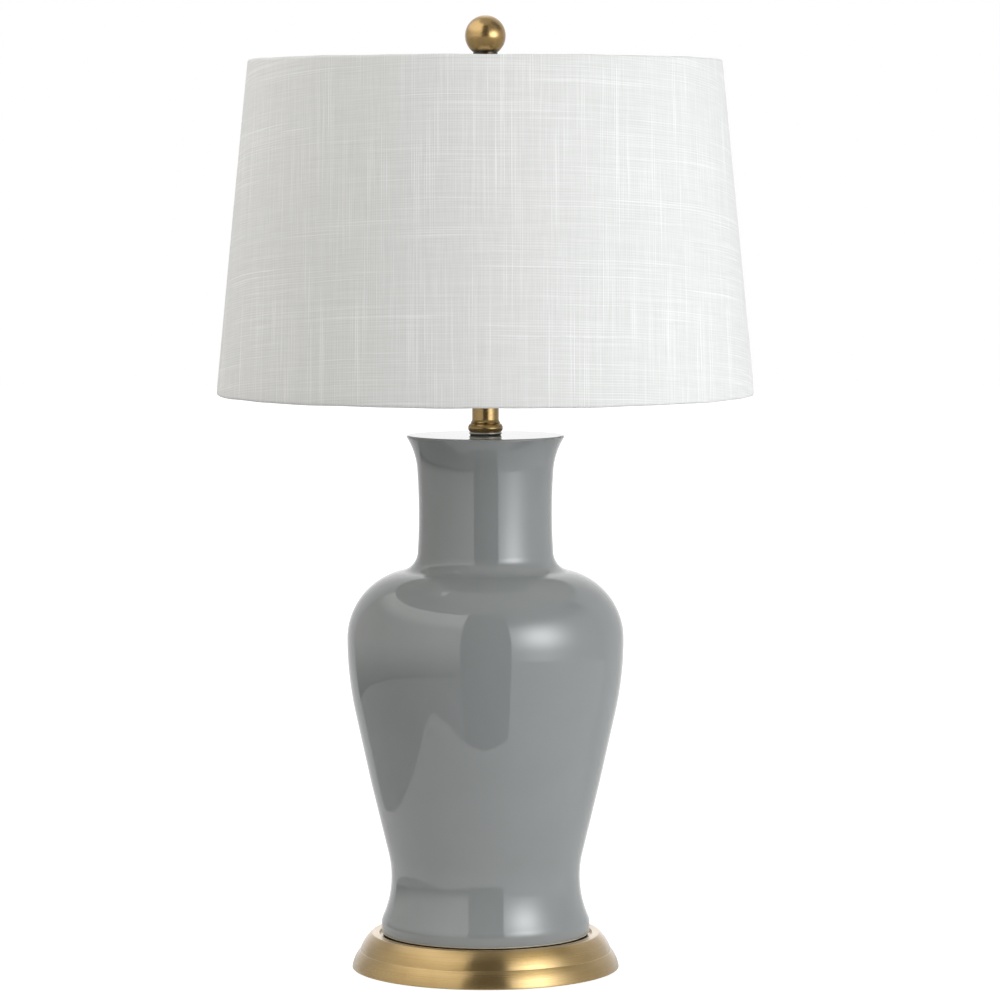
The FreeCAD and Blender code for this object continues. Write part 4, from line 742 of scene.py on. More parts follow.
def revolve(name: str, section: Sequence[Point], angles: np.ndarray, ground: float,
            shift: Shift | None = None) -> bpy.types.Object:
    """Sweep a closed half section round Z into a closed mesh.

    Args:
        name: Name of the piece.
        section: Points (across, up) in millimetres, with the solid on the left of the way.
        angles: Angles of the columns from the front.
        ground: Height of the section's level 0, in millimetres.
        shift: Gives new radii and heights from angles, radii and heights, to make the turning uneven.

    Returns:
        The new object.
    """
    radii, heights = (np.array(values, float) for values in zip(*section))
    turn = np.repeat(angles[:, None], len(radii), axis=1)
    across = np.repeat(radii[None, :], len(angles), axis=0)
    up = np.repeat(heights[None, :], len(angles), axis=0)
    if shift:
        across, up = shift(turn, across, up)
    places = np.stack([across * np.sin(turn), -across * np.cos(turn), up + ground], axis=-1) * MM
    rows, count = len(radii), len(angles)
    faces = []
    for column in range(count):
        here, there = column * rows, (column + 1) % count * rows
        for row in range(rows):
            above = (row + 1) % rows
            faces.append((here + row, there + row, there + above, here + above))
    mesh = bpy.data.meshes.new(name)
    mesh.from_pydata(places.reshape(-1, 3).tolist(), [], faces)
    if min(radii) < ON_AXIS:
        close_poles(mesh)
    return finished(name, mesh)


def close_poles(mesh: bpy.types.Mesh) -> None:
    """Merge the points on the axis and drop the faces that this closes up.

    Args:
        mesh: A turned mesh.
    """
    work = bmesh.new()
    work.from_mesh(mesh)
    bmesh.ops.remove_doubles(work, verts=work.verts[:], dist=SAME_PLACE)
    bmesh.ops.dissolve_degenerate(work, edges=work.edges[:], dist=SAME_PLACE / 10)
    work.to_mesh(mesh)
    work.free()


def finished(name: str, mesh: bpy.types.Mesh, sharp: float = 32.0) -> bpy.types.Object:
    """Link a mesh as an object, smooth but for its sharp edges.

    Args:
        name: Name of the piece.
        mesh: Its mesh.
        sharp: Smallest turn of a sharp edge, in degrees.

    Returns:
        The new object.
    """
    mesh.validate()
    mesh.shade_smooth()
    mesh.set_sharp_from_angle(angle=math.radians(sharp))
    item = bpy.data.objects.new(name, mesh)
    bpy.context.scene.collection.objects.link(item)
    return item


def hand_over(piece: bpy.types.Object, body: str, finish: Finish,
              replaced: Sequence[str] = ()) -> None:
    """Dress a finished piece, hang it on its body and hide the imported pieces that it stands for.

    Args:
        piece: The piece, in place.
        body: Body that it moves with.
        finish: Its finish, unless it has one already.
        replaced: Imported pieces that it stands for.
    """
    if not piece.data.materials:
        piece.data.materials.append(finish.material())
    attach(piece, body)
    if replaced:
        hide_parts(*replaced)
    log.info("%s: %d faces, rides on %s", piece.name, len(piece.data.polygons), body)


@dataclass
class Growth:
    """A Geometry Nodes tree with named sizes, whose result becomes a plain mesh."""

    name: str
    sizes: dict[str, float | int]
    tree: bpy.types.NodeTree = field(init=False)
    given: bpy.types.Node = field(init=False)

    def __post_init__(self) -> None:
        """Start the tree with its inputs and its output."""
        self.tree = bpy.data.node_groups.new(self.name, "GeometryNodeTree")
        self.tree.interface.new_socket("Geometry", in_out="OUTPUT", socket_type="NodeSocketGeometry")
        for label, value in self.sizes.items():
            kind = "NodeSocketInt" if isinstance(value, int) else "NodeSocketFloat"
            self.tree.interface.new_socket(label, in_out="INPUT", socket_type=kind)
        self.given = self.tree.nodes.new("NodeGroupInput")

    def __getitem__(self, label: str) -> bpy.types.NodeSocket:
        """Return one of the named sizes as a source for a node."""
        return self.given.outputs[label]

    def add(self, kind: str, inputs: dict | None = None, **settings) -> bpy.types.Node:
        """Add a node to this tree, as add_node does."""
        return add_node(self.tree, kind, inputs, **settings)

    def harvest(self, geometry: bpy.types.Node, finish: Finish, sharp: float) -> bpy.types.Object:
        """End the tree, run it and return its result as a plain mesh object.

        Args:
            geometry: Node whose first output is the whole shape.
            finish: Finish of the piece.
            sharp: Smallest turn of a sharp edge, in degrees.

        Returns:
            The new object, with no modifier.
        """
        whole = self.add("GeometryNodeRealizeInstances", {0: geometry})
        dressed = self.add("GeometryNodeSetMaterial", {0: whole, "Material": finish.material()})
        self.add("NodeGroupOutput", {0: dressed})
        seedling = bpy.data.objects.new(self.name + "_start", bpy.data.meshes.new(self.name + "_start"))
        bpy.context.scene.collection.objects.link(seedling)
        modifier = seedling.modifiers.new(self.name, "NODES")
        modifier.node_group = self.tree
        for item in self.tree.interface.items_tree:
            if item.in_out == "INPUT":
                modifier[item.identifier] = self.sizes[item.name]
        graph = bpy.context.evaluated_depsgraph_get()
        mesh = bpy.data.meshes.new_from_object(seedling.evaluated_get(graph), depsgraph=graph)
        mesh.name = self.name
        # The start's empty material slot is left out.
        mesh.materials.clear()
        mesh.materials.append(finish.material())
        mesh.polygons.foreach_set("material_index", [0] * len(mesh.polygons))
        bpy.data.objects.remove(seedling)
        return finished(self.name, mesh, sharp)


@dataclass
class Jar:
    """Slip-cast jar, a chain of tangent arcs from the foot to the lip, closed by a flat deck."""

    height: float = 379.4
    wall: float = 5.0
    deck: float = 6.0
    deck_hole: float = 5.7
    hole_edge: float = 0.6
    foot: float = 79.3
    foot_edge: float = 0.9
    foot_bend: float = 13.4
    waist: float = 72.0
    waist_height: float = 42.8
    waist_bend: float = 77.5
    flank_bend: float = 3000.0
    belly: float = 105.2
    belly_height: float = 224.8
    belly_bend: float = 262.0
    shoulder_bend: float = 52.7
    fillet: float = 15.3
    throat: float = 50.6
    throat_height: float = 320.6
    throat_bend: float = 450.0
    lip_bend: float = 54.0
    lip: float = 59.9
    lip_edge: float = 1.3
    bare_foot: float = 1.5
    columns: int = 224
    # Largest turn in degrees and longest edge in millimetres, on the glazed side and on the inside.
    outer_steps: tuple[float, float] = (1.6, 6.0)
    inner_steps: tuple[float, float] = (7.0, 12.0)
    # Hand finishing leaves the wall out of true by about a tenth of a millimetre, between its true ends.
    unevenness: float = 0.09
    true_foot: float = 30.0
    true_lip: float = 12.0
    swell: tuple[Wave, ...] = (Wave(2, 1.0, 0.7), Wave(3, 0.7, 2.1, 31), Wave(5, 0.45, 0.4, -23))
    # Thumb marks run round the wall and wander up and down.
    mark_strength: float = 0.3
    mark_climb: float = 9.0
    mark_wander: float = 4.0

    @staticmethod
    def meet(first: Point, first_radius: float, second: Point, second_radius: float) -> Point:
        """Find where two circles meet, on the left of the way from the first to the second.

        Args:
            first: Centre of one circle.
            first_radius: Its radius.
            second: Centre of the other.
            second_radius: Its radius.

        Returns:
            The point.
        """
        across, up = second[0] - first[0], second[1] - first[1]
        apart = across * across + up * up
        along = (first_radius ** 2 - second_radius ** 2 + apart) / (2 * apart)
        off = math.sqrt(first_radius ** 2 / apart - along * along)
        return first[0] + along * across - off * up, first[1] + along * up + off * across

    @staticmethod
    def towards(centre: Point, other: Point, reach: float) -> Point:
        """Find the point at a distance from one centre, in line with another.

        Args:
            centre: The one centre.
            other: The other.
            reach: The distance, which may be longer than the way to the other.

        Returns:
            The point.
        """
        share = reach / math.dist(centre, other)
        return centre[0] + share * (other[0] - centre[0]), centre[1] + share * (other[1] - centre[1])

    def side(self, inset: float) -> list[Corner]:
        """Return the corners of the wall from above the foot to the lip's flare.

        Args:
            inset: Depth below the glaze in millimetres, 0 for the outside.

        Returns:
            Corners with the bends that follow them, then the lip's centre as a last pair.
        """
        waist = (self.waist + self.waist_bend, self.waist_height)
        belly = (self.belly - self.belly_bend, self.belly_height)
        shoulder = (self.belly - self.shoulder_bend, self.belly_height)
        throat = (self.throat + self.throat_bend, self.throat_height)
        foot_across = self.foot - self.foot_bend
        reach = self.foot_bend + self.waist_bend
        foot = (foot_across, self.waist_height - math.sqrt(reach ** 2 - (waist[0] - foot_across) ** 2))
        flank = self.meet(waist, self.flank_bend + self.waist_bend, belly, self.flank_bend - self.belly_bend)
        fillet = self.meet(shoulder, self.shoulder_bend + self.fillet, throat, self.throat_bend - self.fillet)
        tip = (self.lip, self.height - self.lip_edge)
        lip = self.meet(throat, self.throat_bend - self.lip_bend, tip, self.lip_bend)
        foot_bend, waist_bend = self.foot_bend - inset, self.waist_bend + inset
        flank_bend, shoulder_bend = self.flank_bend - inset, self.shoulder_bend - inset
        throat_bend = self.throat_bend + inset
        return [
            (self.foot - inset, foot[1], foot_bend),
            (*self.towards(foot, waist, foot_bend), -waist_bend),
            (*self.towards(waist, flank, waist_bend), flank_bend),
            (*self.towards(flank, belly, flank_bend), self.belly_bend - inset),
            (self.belly - inset, self.belly_height, shoulder_bend),
            (*self.towards(shoulder, fillet, shoulder_bend), -self.fillet - inset),
            (*self.towards(throat, fillet, throat_bend), -throat_bend),
            (*self.towards(throat, lip, throat_bend), -self.lip_bend - inset),
            lip,
        ]

    def section(self) -> list[Point]:
        """Draw the closed section of the wall, deck and foot.

        Returns:
            Its points, in millimetres above the foot.
        """
        outside = self.side(0)[:-1]
        *inside, lip_centre = self.side(self.wall)
        ceiling = self.height - self.deck
        lip_bend = self.lip_bend + self.wall
        corner = lip_centre[0] - math.sqrt(lip_bend ** 2 - (ceiling - lip_centre[1]) ** 2)
        climb = [
            (self.foot - self.foot_edge, 0, self.foot_edge),
            (self.foot, self.foot_edge),
            *outside,
            (self.lip, self.height - self.lip_edge, self.lip_edge),
            (self.lip - self.lip_edge, self.height),
            (self.deck_hole + self.hole_edge, self.height),
            (self.deck_hole, self.height - self.hole_edge),
            (self.deck_hole, ceiling),
        ]
        # The inner wall is drawn from its foot up, so it is turned round to run down from the deck.
        inner = trace([*inside, (corner, ceiling)], *self.inner_steps)
        inner = inner[:inner.index(max(inner, key=lambda point: point[1])) + 1]
        start = (self.foot - self.wall, 0)
        return [*trace(climb, *self.outer_steps)[:-1], (self.deck_hole, ceiling), *inner[::-1], start]

    def sway(self, turn: np.ndarray, across: np.ndarray, up: np.ndarray) -> tuple[np.ndarray, np.ndarray]:
        """Make the wall slightly uneven, and leave the foot and the deck true.

        Args:
            turn: Angles from the front.
            across: Radii.
            up: Heights above the foot.

        Returns:
            New radii and heights.
        """
        rise = np.clip(up / self.true_foot, 0, 1) * np.clip((self.height - up) / self.true_lip, 0, 1)
        marks = self.mark_strength * np.sin(up / self.mark_climb + self.mark_wander * np.sin(turn))
        return across + self.unevenness * rise * (waves(self.swell, turn, up) + marks), up

    def build(self) -> None:
        """Make the glazed jar with its bare foot."""
        ground = level("jar")
        piece = revolve("glazed_jar", self.section(), even_turns(self.columns), ground, self.sway)
        piece.data.materials.append(GLAZE.material())
        piece.data.materials.append(BISQUE.material())
        for face in piece.data.polygons:
            if face.center.z < (ground + self.bare_foot) * MM:
                face.material_index = 1
        hand_over(piece, "lamp", GLAZE, ["jar"])


@dataclass
class Pads:
    """Soft discs and rings: the felt under the base, the foam under the jar and the rubber under the neck."""

    felt: float = 98.6
    felt_thickness: float = 1.6
    felt_ease: float = 0.4
    felt_edge: float = 3.0
    felt_wear: float = 0.3
    felt_waves: tuple[Wave, ...] = (Wave(41, 0.12, 0), Wave(67, 0.1, 1.3), Wave(113, 0.08, 0.4))
    # For each pad, the largest turn in degrees and the longest edge in millimetres.
    felt_steps: tuple[float, float] = (30.0, 6.0)
    foam_steps: tuple[float, float] = (12.0, 4.0)
    gasket_steps: tuple[float, float] = (20.0, 3.0)
    foam_inner: float = 70.0
    foam_outer: float = 78.0
    foam_bulge: float = 0.35
    gasket_bore: float = 4.9
    gasket: float = 11.6
    gasket_thickness: float = 0.6
    gasket_ease: float = 0.25
    columns: int = 160
    gasket_columns: int = 96

    def fray(self, turn: np.ndarray, across: np.ndarray, up: np.ndarray) -> tuple[np.ndarray, np.ndarray]:
        """Let the die-cut edge of the felt wander a little.

        Args:
            turn: Angles from the front.
            across: Radii.
            up: Heights above the table.

        Returns:
            New radii and heights.
        """
        edge = np.clip((across - self.felt + self.felt_edge) / self.felt_edge, 0, 1)
        return across + waves(self.felt_waves, turn, up) * edge - self.felt_wear * edge, up

    @staticmethod
    def disc(inner: float, outer: float, thickness: float) -> list[Corner]:
        """Return the corners of a flat disc's or washer's section."""
        return [(inner, 0), (outer, 0), (outer, thickness), (inner, thickness)]

    def build(self) -> None:
        """Make the three soft pieces."""
        turns = even_turns(self.columns)
        felt = eased(self.disc(0, self.felt, self.felt_thickness), self.felt_ease)
        disc = revolve("felt_disc", trace(felt, *self.felt_steps), turns, level("felt_pad"), self.fray)
        hand_over(disc, "lamp", FELT, ["felt_pad"])
        height = level("jar") - level("foot_ring")
        bend = (height * height / 4 + self.foam_bulge ** 2) / (2 * self.foam_bulge)
        foam = [(self.foam_inner, height, bend), (self.foam_inner, 0),
                (self.foam_outer - self.foam_bulge, 0, bend), (self.foam_outer - self.foam_bulge, height)]
        ring = revolve("foam_tape", trace(foam, *self.foam_steps), turns, level("foot_ring"))
        hand_over(ring, "lamp", FOAM, ["foot_ring"])
        rubber = eased(self.disc(self.gasket_bore, self.gasket, self.gasket_thickness), self.gasket_ease)
        turns = even_turns(self.gasket_columns)
        washer = revolve("rubber_washer", trace(rubber, *self.gasket_steps), turns, level("deck_gasket"))
        hand_over(washer, "lamp", RUBBER, ["deck_gasket"])


@dataclass
class Shade:
    """Hardback shade: linen rolled over two wires, with slubs that stand up from the cloth."""

    bottom: float = 203.3
    top: float = 178.5
    height: float = 251.8
    cloth: float = 0.6
    fold: float = 1.53
    roll: float = 2.13
    tuck: float = 1.15
    hem: float = 8.0
    rolled_in: float = 6.0
    lap: float = 12.0
    lap_step: float = 0.55
    pucker: float = 0.14
    pucker_reach: float = 9.0
    puckers: tuple[Wave, ...] = (Wave(31, 1.0, 0.4), Wave(47, 0.8, 2.2), Wave(83, 0.6, 0, 7))
    sway: float = 0.22
    sways: tuple[Wave, ...] = (Wave(3, 1.0, 0.9), Wave(5, 0.6, 0, 60))
    rim_waves: tuple[Wave, ...] = (Wave(11, 0.16, 0.6), Wave(23, 0.1, 1.7))
    columns: int = 252
    # Distances in millimetres of the closer columns from the seam.
    seam_columns: tuple[float, ...] = (0.25, 0.6, 1.2, 2.4)
    # Largest turn in degrees and longest edge in millimetres.
    steps: tuple[float, float] = (15.0, 7.0)
    slub_upright: int = 240
    slub_level: int = 130
    slub_upright_length: tuple[float, float] = (20.0, 70.0)
    slub_level_length: tuple[float, float] = (30.0, 110.0)
    slub_width: tuple[float, float] = (0.35, 0.6)
    slub_rise: float = 0.06
    slub_drift: float = 1.4
    slub_drift_run: float = 30.0
    # Turn at the back, in radians, that the slubs leave bare for the seam.
    slub_free_seam: float = 0.12

    @property
    def lean(self) -> float:
        """Return how far the side leans in for each millimetre up."""
        return (self.bottom - self.top) / self.height

    @property
    def spread(self) -> float:
        """Return the turn of the flat pattern for each turn of the shade."""
        return math.sin(math.atan(self.lean))

    def cone(self, inset: float, up: float) -> Point:
        """Find a point of the side.

        Args:
            inset: Depth below the outside.
            up: Height.

        Returns:
            The point.
        """
        return self.bottom - self.lean * up - inset, up

    def section(self) -> list[Point]:
        """Draw the closed section of the cloth with both its hems.

        Returns:
            Its points, in millimetres above the lower edge.
        """
        high = self.height - self.roll
        low_across = self.cone(self.roll, self.roll)[0]
        high_across = self.cone(self.roll, high)[0]
        corners = [
            (low_across, 0, self.roll),
            self.cone(0, self.roll),
            (*self.cone(0, high), self.roll),
            (high_across, self.height, self.roll),
            (high_across - self.roll, high),
            (high_across - self.roll, high - self.fold),
            self.cone(self.tuck + self.cloth, high - self.hem),
            self.cone(self.tuck, high - self.hem),
            (high_across - self.fold, high - self.fold),
            (high_across - self.fold, high, -self.fold),
            (high_across, self.height - self.cloth, -self.fold),
            self.cone(self.cloth, high),
            (*self.cone(self.cloth, self.roll), -self.fold),
            (low_across, self.cloth, -self.fold),
            (low_across - self.fold, self.roll),
            (low_across - self.fold, self.roll + self.fold),
            self.cone(self.tuck, self.roll + self.hem),
            self.cone(self.tuck + self.cloth, self.roll + self.hem),
            (low_across - self.roll, self.roll + self.fold),
            (low_across - self.roll, self.roll, self.roll),
        ]
        return trace(corners, *self.steps)

    def columns_at(self) -> np.ndarray:
        """Space the columns from seam to seam, closer together at the seam.

        Returns:
            Their angles from the front.
        """
        even = np.linspace(-math.pi, math.pi, self.columns, endpoint=False)
        across_seam = np.array(self.seam_columns) / self.bottom
        near = np.concatenate([math.pi - across_seam, -math.pi + across_seam])
        return np.sort(np.unique(np.concatenate([even, near])))

    def settle(self, turn: np.ndarray, across: np.ndarray, up: np.ndarray) -> tuple[np.ndarray, np.ndarray]:
        """Lap the cloth at the back and let it pucker a little near its hems.

        Args:
            turn: Angles from the front.
            across: Radii.
            up: Heights above the lower edge.

        Returns:
            New radii and heights.
        """
        from_seam = (math.pi - turn) * self.bottom
        # The upper layer runs down to the cloth below over the lap, and ends in one step at the seam.
        lapped = np.clip(1 - (from_seam - self.lap) / self.lap, 0, 1) * (turn > 0)
        near_hem = np.exp(-np.minimum(up, self.height - up) / self.pucker_reach)
        across = (across + self.lap_step * lapped + self.pucker * near_hem * waves(self.puckers, turn, up)
                  + self.sway * waves(self.sways, turn, up))
        return across, up + waves(self.rim_waves, turn, up) * np.where(up < self.height / 2, 1, -1)

    def build(self) -> None:
        """Make the cloth and its slubs."""
        ground = level("shade_fabric")
        angles = self.columns_at()
        section = self.section()
        cloth = revolve("linen_shade", section, angles, ground, self.settle)
        self.lay_pattern(cloth, angles, section)
        hand_over(cloth, "shade", LINEN, ["shade_fabric"])
        slubs = self.grow_slubs(ground)
        hand_over(slubs, "shade", SLUB)

    def lay_pattern(self, cloth: bpy.types.Object, angles: np.ndarray, section: list[Point]) -> None:
        """Give the cloth its place on the flat pattern, in metres, as a UV map.

        Args:
            cloth: The cloth, column by column.
            angles: Angles of its columns.
            section: Points of its section.
        """
        mesh = cloth.data
        layer = mesh.uv_layers.new(name=PATTERN_MAP)
        edges = [math.dist(start, end) for start, end in zip(section, section[1:])]
        runs = np.array([0.0, *np.cumsum(edges)])
        rows = len(section)
        corner = np.empty(len(mesh.loops), int)
        mesh.loops.foreach_get("vertex_index", corner)
        column, row = corner // rows, corner % rows
        face_columns = column.reshape(-1, 4)
        wraps = (face_columns.max(axis=1) - face_columns.min(axis=1) > 1)[:, None] & (face_columns == 0)
        turn = angles[column] + 2 * math.pi * wraps.reshape(-1)
        # The last row closes the section, inside the lower hem, where its run starts again from the whole.
        face_rows = row.reshape(-1, 4)
        closes = (face_rows.max(axis=1) - face_rows.min(axis=1) > 1)[:, None] & (face_rows == 0)
        whole = runs[-1] + math.dist(section[-1], section[0])
        run = runs[row] + whole * closes.reshape(-1)
        reach = self.bottom / self.spread - run
        pattern_turn = turn * self.spread
        places = np.stack([reach * np.sin(pattern_turn), -reach * np.cos(pattern_turn)], axis=-1) * MM
        layer.data.foreach_set("uv", places.reshape(-1).astype(np.float32))

    def grow_slubs(self, ground: float) -> bpy.types.Object:
        """Grow the slubs on the flat pattern and bend them on to the cone.

        Args:
            ground: Height of the shade's lower edge in millimetres.

        Returns:
            All the slubs as one piece.
        """
        lengths = {
            "Upright shortest": self.slub_upright_length[0], "Upright longest": self.slub_upright_length[1],
            "Level shortest": self.slub_level_length[0], "Level longest": self.slub_level_length[1],
            "Thinnest": self.slub_width[0], "Thickest": self.slub_width[1], "Rise": self.slub_rise,
            "Lower reach": self.bottom / self.spread, "Upper reach": self.top / self.spread, "Ground": ground,
        }
        growth = Growth("linen_slubs", {
            "Upright count": self.slub_upright, "Level count": self.slub_level, "Spread": self.spread,
            **{label: length * MM for label, length in lengths.items()}})
        both = growth.add("GeometryNodeJoinGeometry")
        quarter = math.pi / 2
        for kind, seed, turned, order in (
                ("Upright", 11, (quarter, 0, 0), (1, 0)),
                ("Level", 37, (0, quarter, 0), (0, 1))):
            feed(growth.tree, both, {0: self.strands(growth, kind, seed, turned, order)})
        whole = growth.add("GeometryNodeRealizeInstances", {0: both})
        slubs = growth.harvest(self.bend_to_cone(growth, whole), SLUB, sharp=60)
        # They are woven in, so they follow the cloth wherever it has settled.
        places = np.array([corner.co for corner in slubs.data.vertices]) / MM
        turn = np.arctan2(places[:, 0], -places[:, 1])
        across, up = self.settle(turn, np.hypot(places[:, 0], places[:, 1]), places[:, 2] - ground)
        settled = np.stack([across * np.sin(turn), -across * np.cos(turn), up + ground], axis=-1) * MM
        slubs.data.vertices.foreach_set("co", settled.ravel())
        slubs.data.update()
        return slubs

    def strands(self, growth: Growth, kind: str, seed: int, turned: tuple[float, float, float],
                order: tuple[int, int]) -> bpy.types.Node:
        """Scatter tapered strands over the flat pattern.

        Args:
            growth: The tree.
            kind: First word of the sizes that say how many and how long.
            seed: Seed of the places and sizes.
            turned: Angles that lay a strand along its yarn.
            order: Which of its own axes stands up from the cloth, and which lies across the strand.

        Returns:
            Node with the strands as instances.
        """
        edge = growth.add("ShaderNodeMath", {0: growth["Upright longest"], 1: 0.5}, operation="MULTIPLY")
        low = growth.add("ShaderNodeMath", {0: growth["Upper reach"], 1: edge}, operation="ADD")
        high = growth.add("ShaderNodeMath", {0: growth["Lower reach"], 1: edge}, operation="SUBTRACT")
        widest = (math.pi - self.slub_free_seam) * self.spread
        spans = ((low, high), (-widest, widest), (growth[f"{kind} shortest"], growth[f"{kind} longest"]),
                 (growth["Thinnest"], growth["Thickest"]))
        # Each strand's reach and turn on the pattern, its length and its width.
        reach, turn, whole_length, whole_width = (
            growth.add("FunctionNodeRandomValue", {2: least, 3: most, "Seed": seed + number}).outputs[1]
            for number, (least, most) in enumerate(spans, 1))
        seeds = growth.add("GeometryNodeMeshLine", {"Count": growth[f"{kind} count"]})
        strewn = growth.add("GeometryNodeSetPosition", {
            0: seeds, "Position": self.swing(growth, reach, turn)})
        length, width = (growth.add("ShaderNodeMath", {0: whole, 1: 0.5}, operation="MULTIPLY")
                         for whole in (whole_length, whole_width))
        size = growth.add("ShaderNodeCombineXYZ", {"Z": length, order[0]: growth["Rise"], order[1]: width})
        strand = growth.add("GeometryNodeMeshUVSphere", {"Segments": 6, "Rings": 10, "Radius": 1.0})
        return growth.add("GeometryNodeInstanceOnPoints", {
            "Points": strewn, "Instance": strand, "Rotation": turned, "Scale": size})

    @staticmethod
    def swing(growth: Growth, reach: Source, turn: Source, up: Source | float = 0.0) -> bpy.types.Node:
        """Turn a reach and an angle from the front into a place.

        Args:
            growth: The tree.
            reach: Distance from the axis.
            turn: The angle.
            up: Height.

        Returns:
            Node with the place.
        """
        right, back = (
            growth.add("ShaderNodeMath", {
                0: reach, 1: growth.add("ShaderNodeMath", {0: turn}, operation=curve)}, operation="MULTIPLY")
            for curve in ("SINE", "COSINE"))
        front = growth.add("ShaderNodeMath", {0: back, 1: -1.0}, operation="MULTIPLY")
        return growth.add("ShaderNodeCombineXYZ", {"X": right, "Y": front, "Z": up})

    def bend_to_cone(self, growth: Growth, flat: bpy.types.Node) -> bpy.types.Node:
        """Let the strands wander and bend the flat pattern on to the cone.

        Args:
            growth: The tree.
            flat: Node with the strands on the flat pattern.

        Returns:
            Node with the strands in place.
        """
        place = growth.add("GeometryNodeInputPosition")
        noise = growth.add("ShaderNodeTexNoise", {
            "Vector": place, "Scale": 1 / (self.slub_drift_run * MM), "Detail": 1.0})
        centred = growth.add("ShaderNodeVectorMath", {
            0: noise.outputs["Color"], 1: (0.5,) * 3}, operation="SUBTRACT")
        drift = growth.add("ShaderNodeVectorMath", {
            0: centred, 1: (self.slub_drift * MM, self.slub_drift * MM, 0.0)}, operation="MULTIPLY")
        moved = growth.add("ShaderNodeVectorMath", {0: place, 1: drift}, operation="ADD")
        parts = growth.add("ShaderNodeSeparateXYZ", {"Vector": moved})
        level_place = growth.add("ShaderNodeCombineXYZ", {"X": parts.outputs[0], "Y": parts.outputs[1]})
        reach = growth.add("ShaderNodeVectorMath", {0: level_place}, operation="LENGTH").outputs["Value"]
        down = growth.add("ShaderNodeMath", {0: parts.outputs[1], 1: -1.0}, operation="MULTIPLY")
        pattern_turn = growth.add("ShaderNodeMath", {0: parts.outputs[0], 1: down}, operation="ARCTAN2")
        turn = growth.add("ShaderNodeMath", {0: pattern_turn, 1: growth["Spread"]}, operation="DIVIDE")
        radius = growth.add("ShaderNodeMath", {0: reach, 1: growth["Spread"], 2: parts.outputs[2]},
                            operation="MULTIPLY_ADD")
        climb = growth.add("ShaderNodeMath", {0: growth["Lower reach"], 1: reach}, operation="SUBTRACT")
        upright = math.cos(math.atan(self.lean))
        up = growth.add("ShaderNodeMath", {
            0: climb, 1: upright, 2: growth["Ground"]}, operation="MULTIPLY_ADD")
        return growth.add("GeometryNodeSetPosition", {
            0: flat, "Position": self.swing(growth, radius, turn, up)})


@dataclass
class Softbox:
    """A curved light panel round the lamp, with a soft hot spot, that the camera doesn't see.

    Angles are in degrees from the front, + to the right, and lengths in metres. The glow is given at the
    panel's start, middle and end, and upper is added to it high up.
    """

    name: str
    start: float
    end: float
    glow: tuple[float, float, float]
    reach: float = 1.6
    low: float = 0.0
    high: float = 4.5
    fade: float = 0.0
    upper: float = 0.0
    upper_from: float = 1.1
    upper_rise: float = 0.4
    hot_at: float = 0.0
    hot_width: float = 13.0
    hot_height: float = 0.71
    hot_depth: float = 0.37
    hot_glow: float = 0.0
    colour: str = WHITE
    columns: int = 64
    rows: int = 44

    def build(self) -> None:
        """Make the panel, which faces the lamp."""
        turns = np.radians(np.linspace(self.start, self.end, self.columns + 1))
        heights = np.linspace(self.low, self.high, self.rows + 1)
        places = [(self.reach * math.sin(turn), -self.reach * math.cos(turn), up)
                  for turn in turns for up in heights]
        on = self.rows + 1
        corners = [column * on + row for column in range(self.columns) for row in range(self.rows)]
        faces = [(corner, corner + 1, corner + on + 1, corner + on) for corner in corners]
        mesh = bpy.data.meshes.new(self.name)
        mesh.from_pydata(places, [], faces)
        glow = mesh.attributes.new("glow", "FLOAT", "POINT")
        angle = np.degrees(turns)[:, None]
        off = (((angle - self.hot_at) / self.hot_width) ** 2
               + ((heights - self.hot_height) / self.hot_depth) ** 2)
        even = np.interp(angle, [self.start, (self.start + self.end) / 2, self.end], self.glow)
        rise = np.clip((heights - self.low) / self.fade, 0, 1) if self.fade else 1.0
        upper = self.upper * np.clip((heights - self.upper_from) / self.upper_rise, 0, 1)
        glow.data.foreach_set("value", ((even + self.hot_glow * np.exp(-off / 2)) * rise + upper).ravel())
        skin = Skin(self.name)
        skin.tree.nodes.clear()
        amount = skin.add("ShaderNodeAttribute", attribute_name="glow")
        light = skin.add("ShaderNodeEmission", {
            "Color": linear(self.colour), "Strength": amount.outputs["Fac"]})
        skin.add("ShaderNodeOutputMaterial", {"Surface": light})
        mesh.materials.append(skin.material)
        panel = bpy.data.objects.new(self.name, mesh)
        bpy.context.scene.collection.objects.link(panel)
        panel.visible_camera = False
        panel.visible_shadow = False


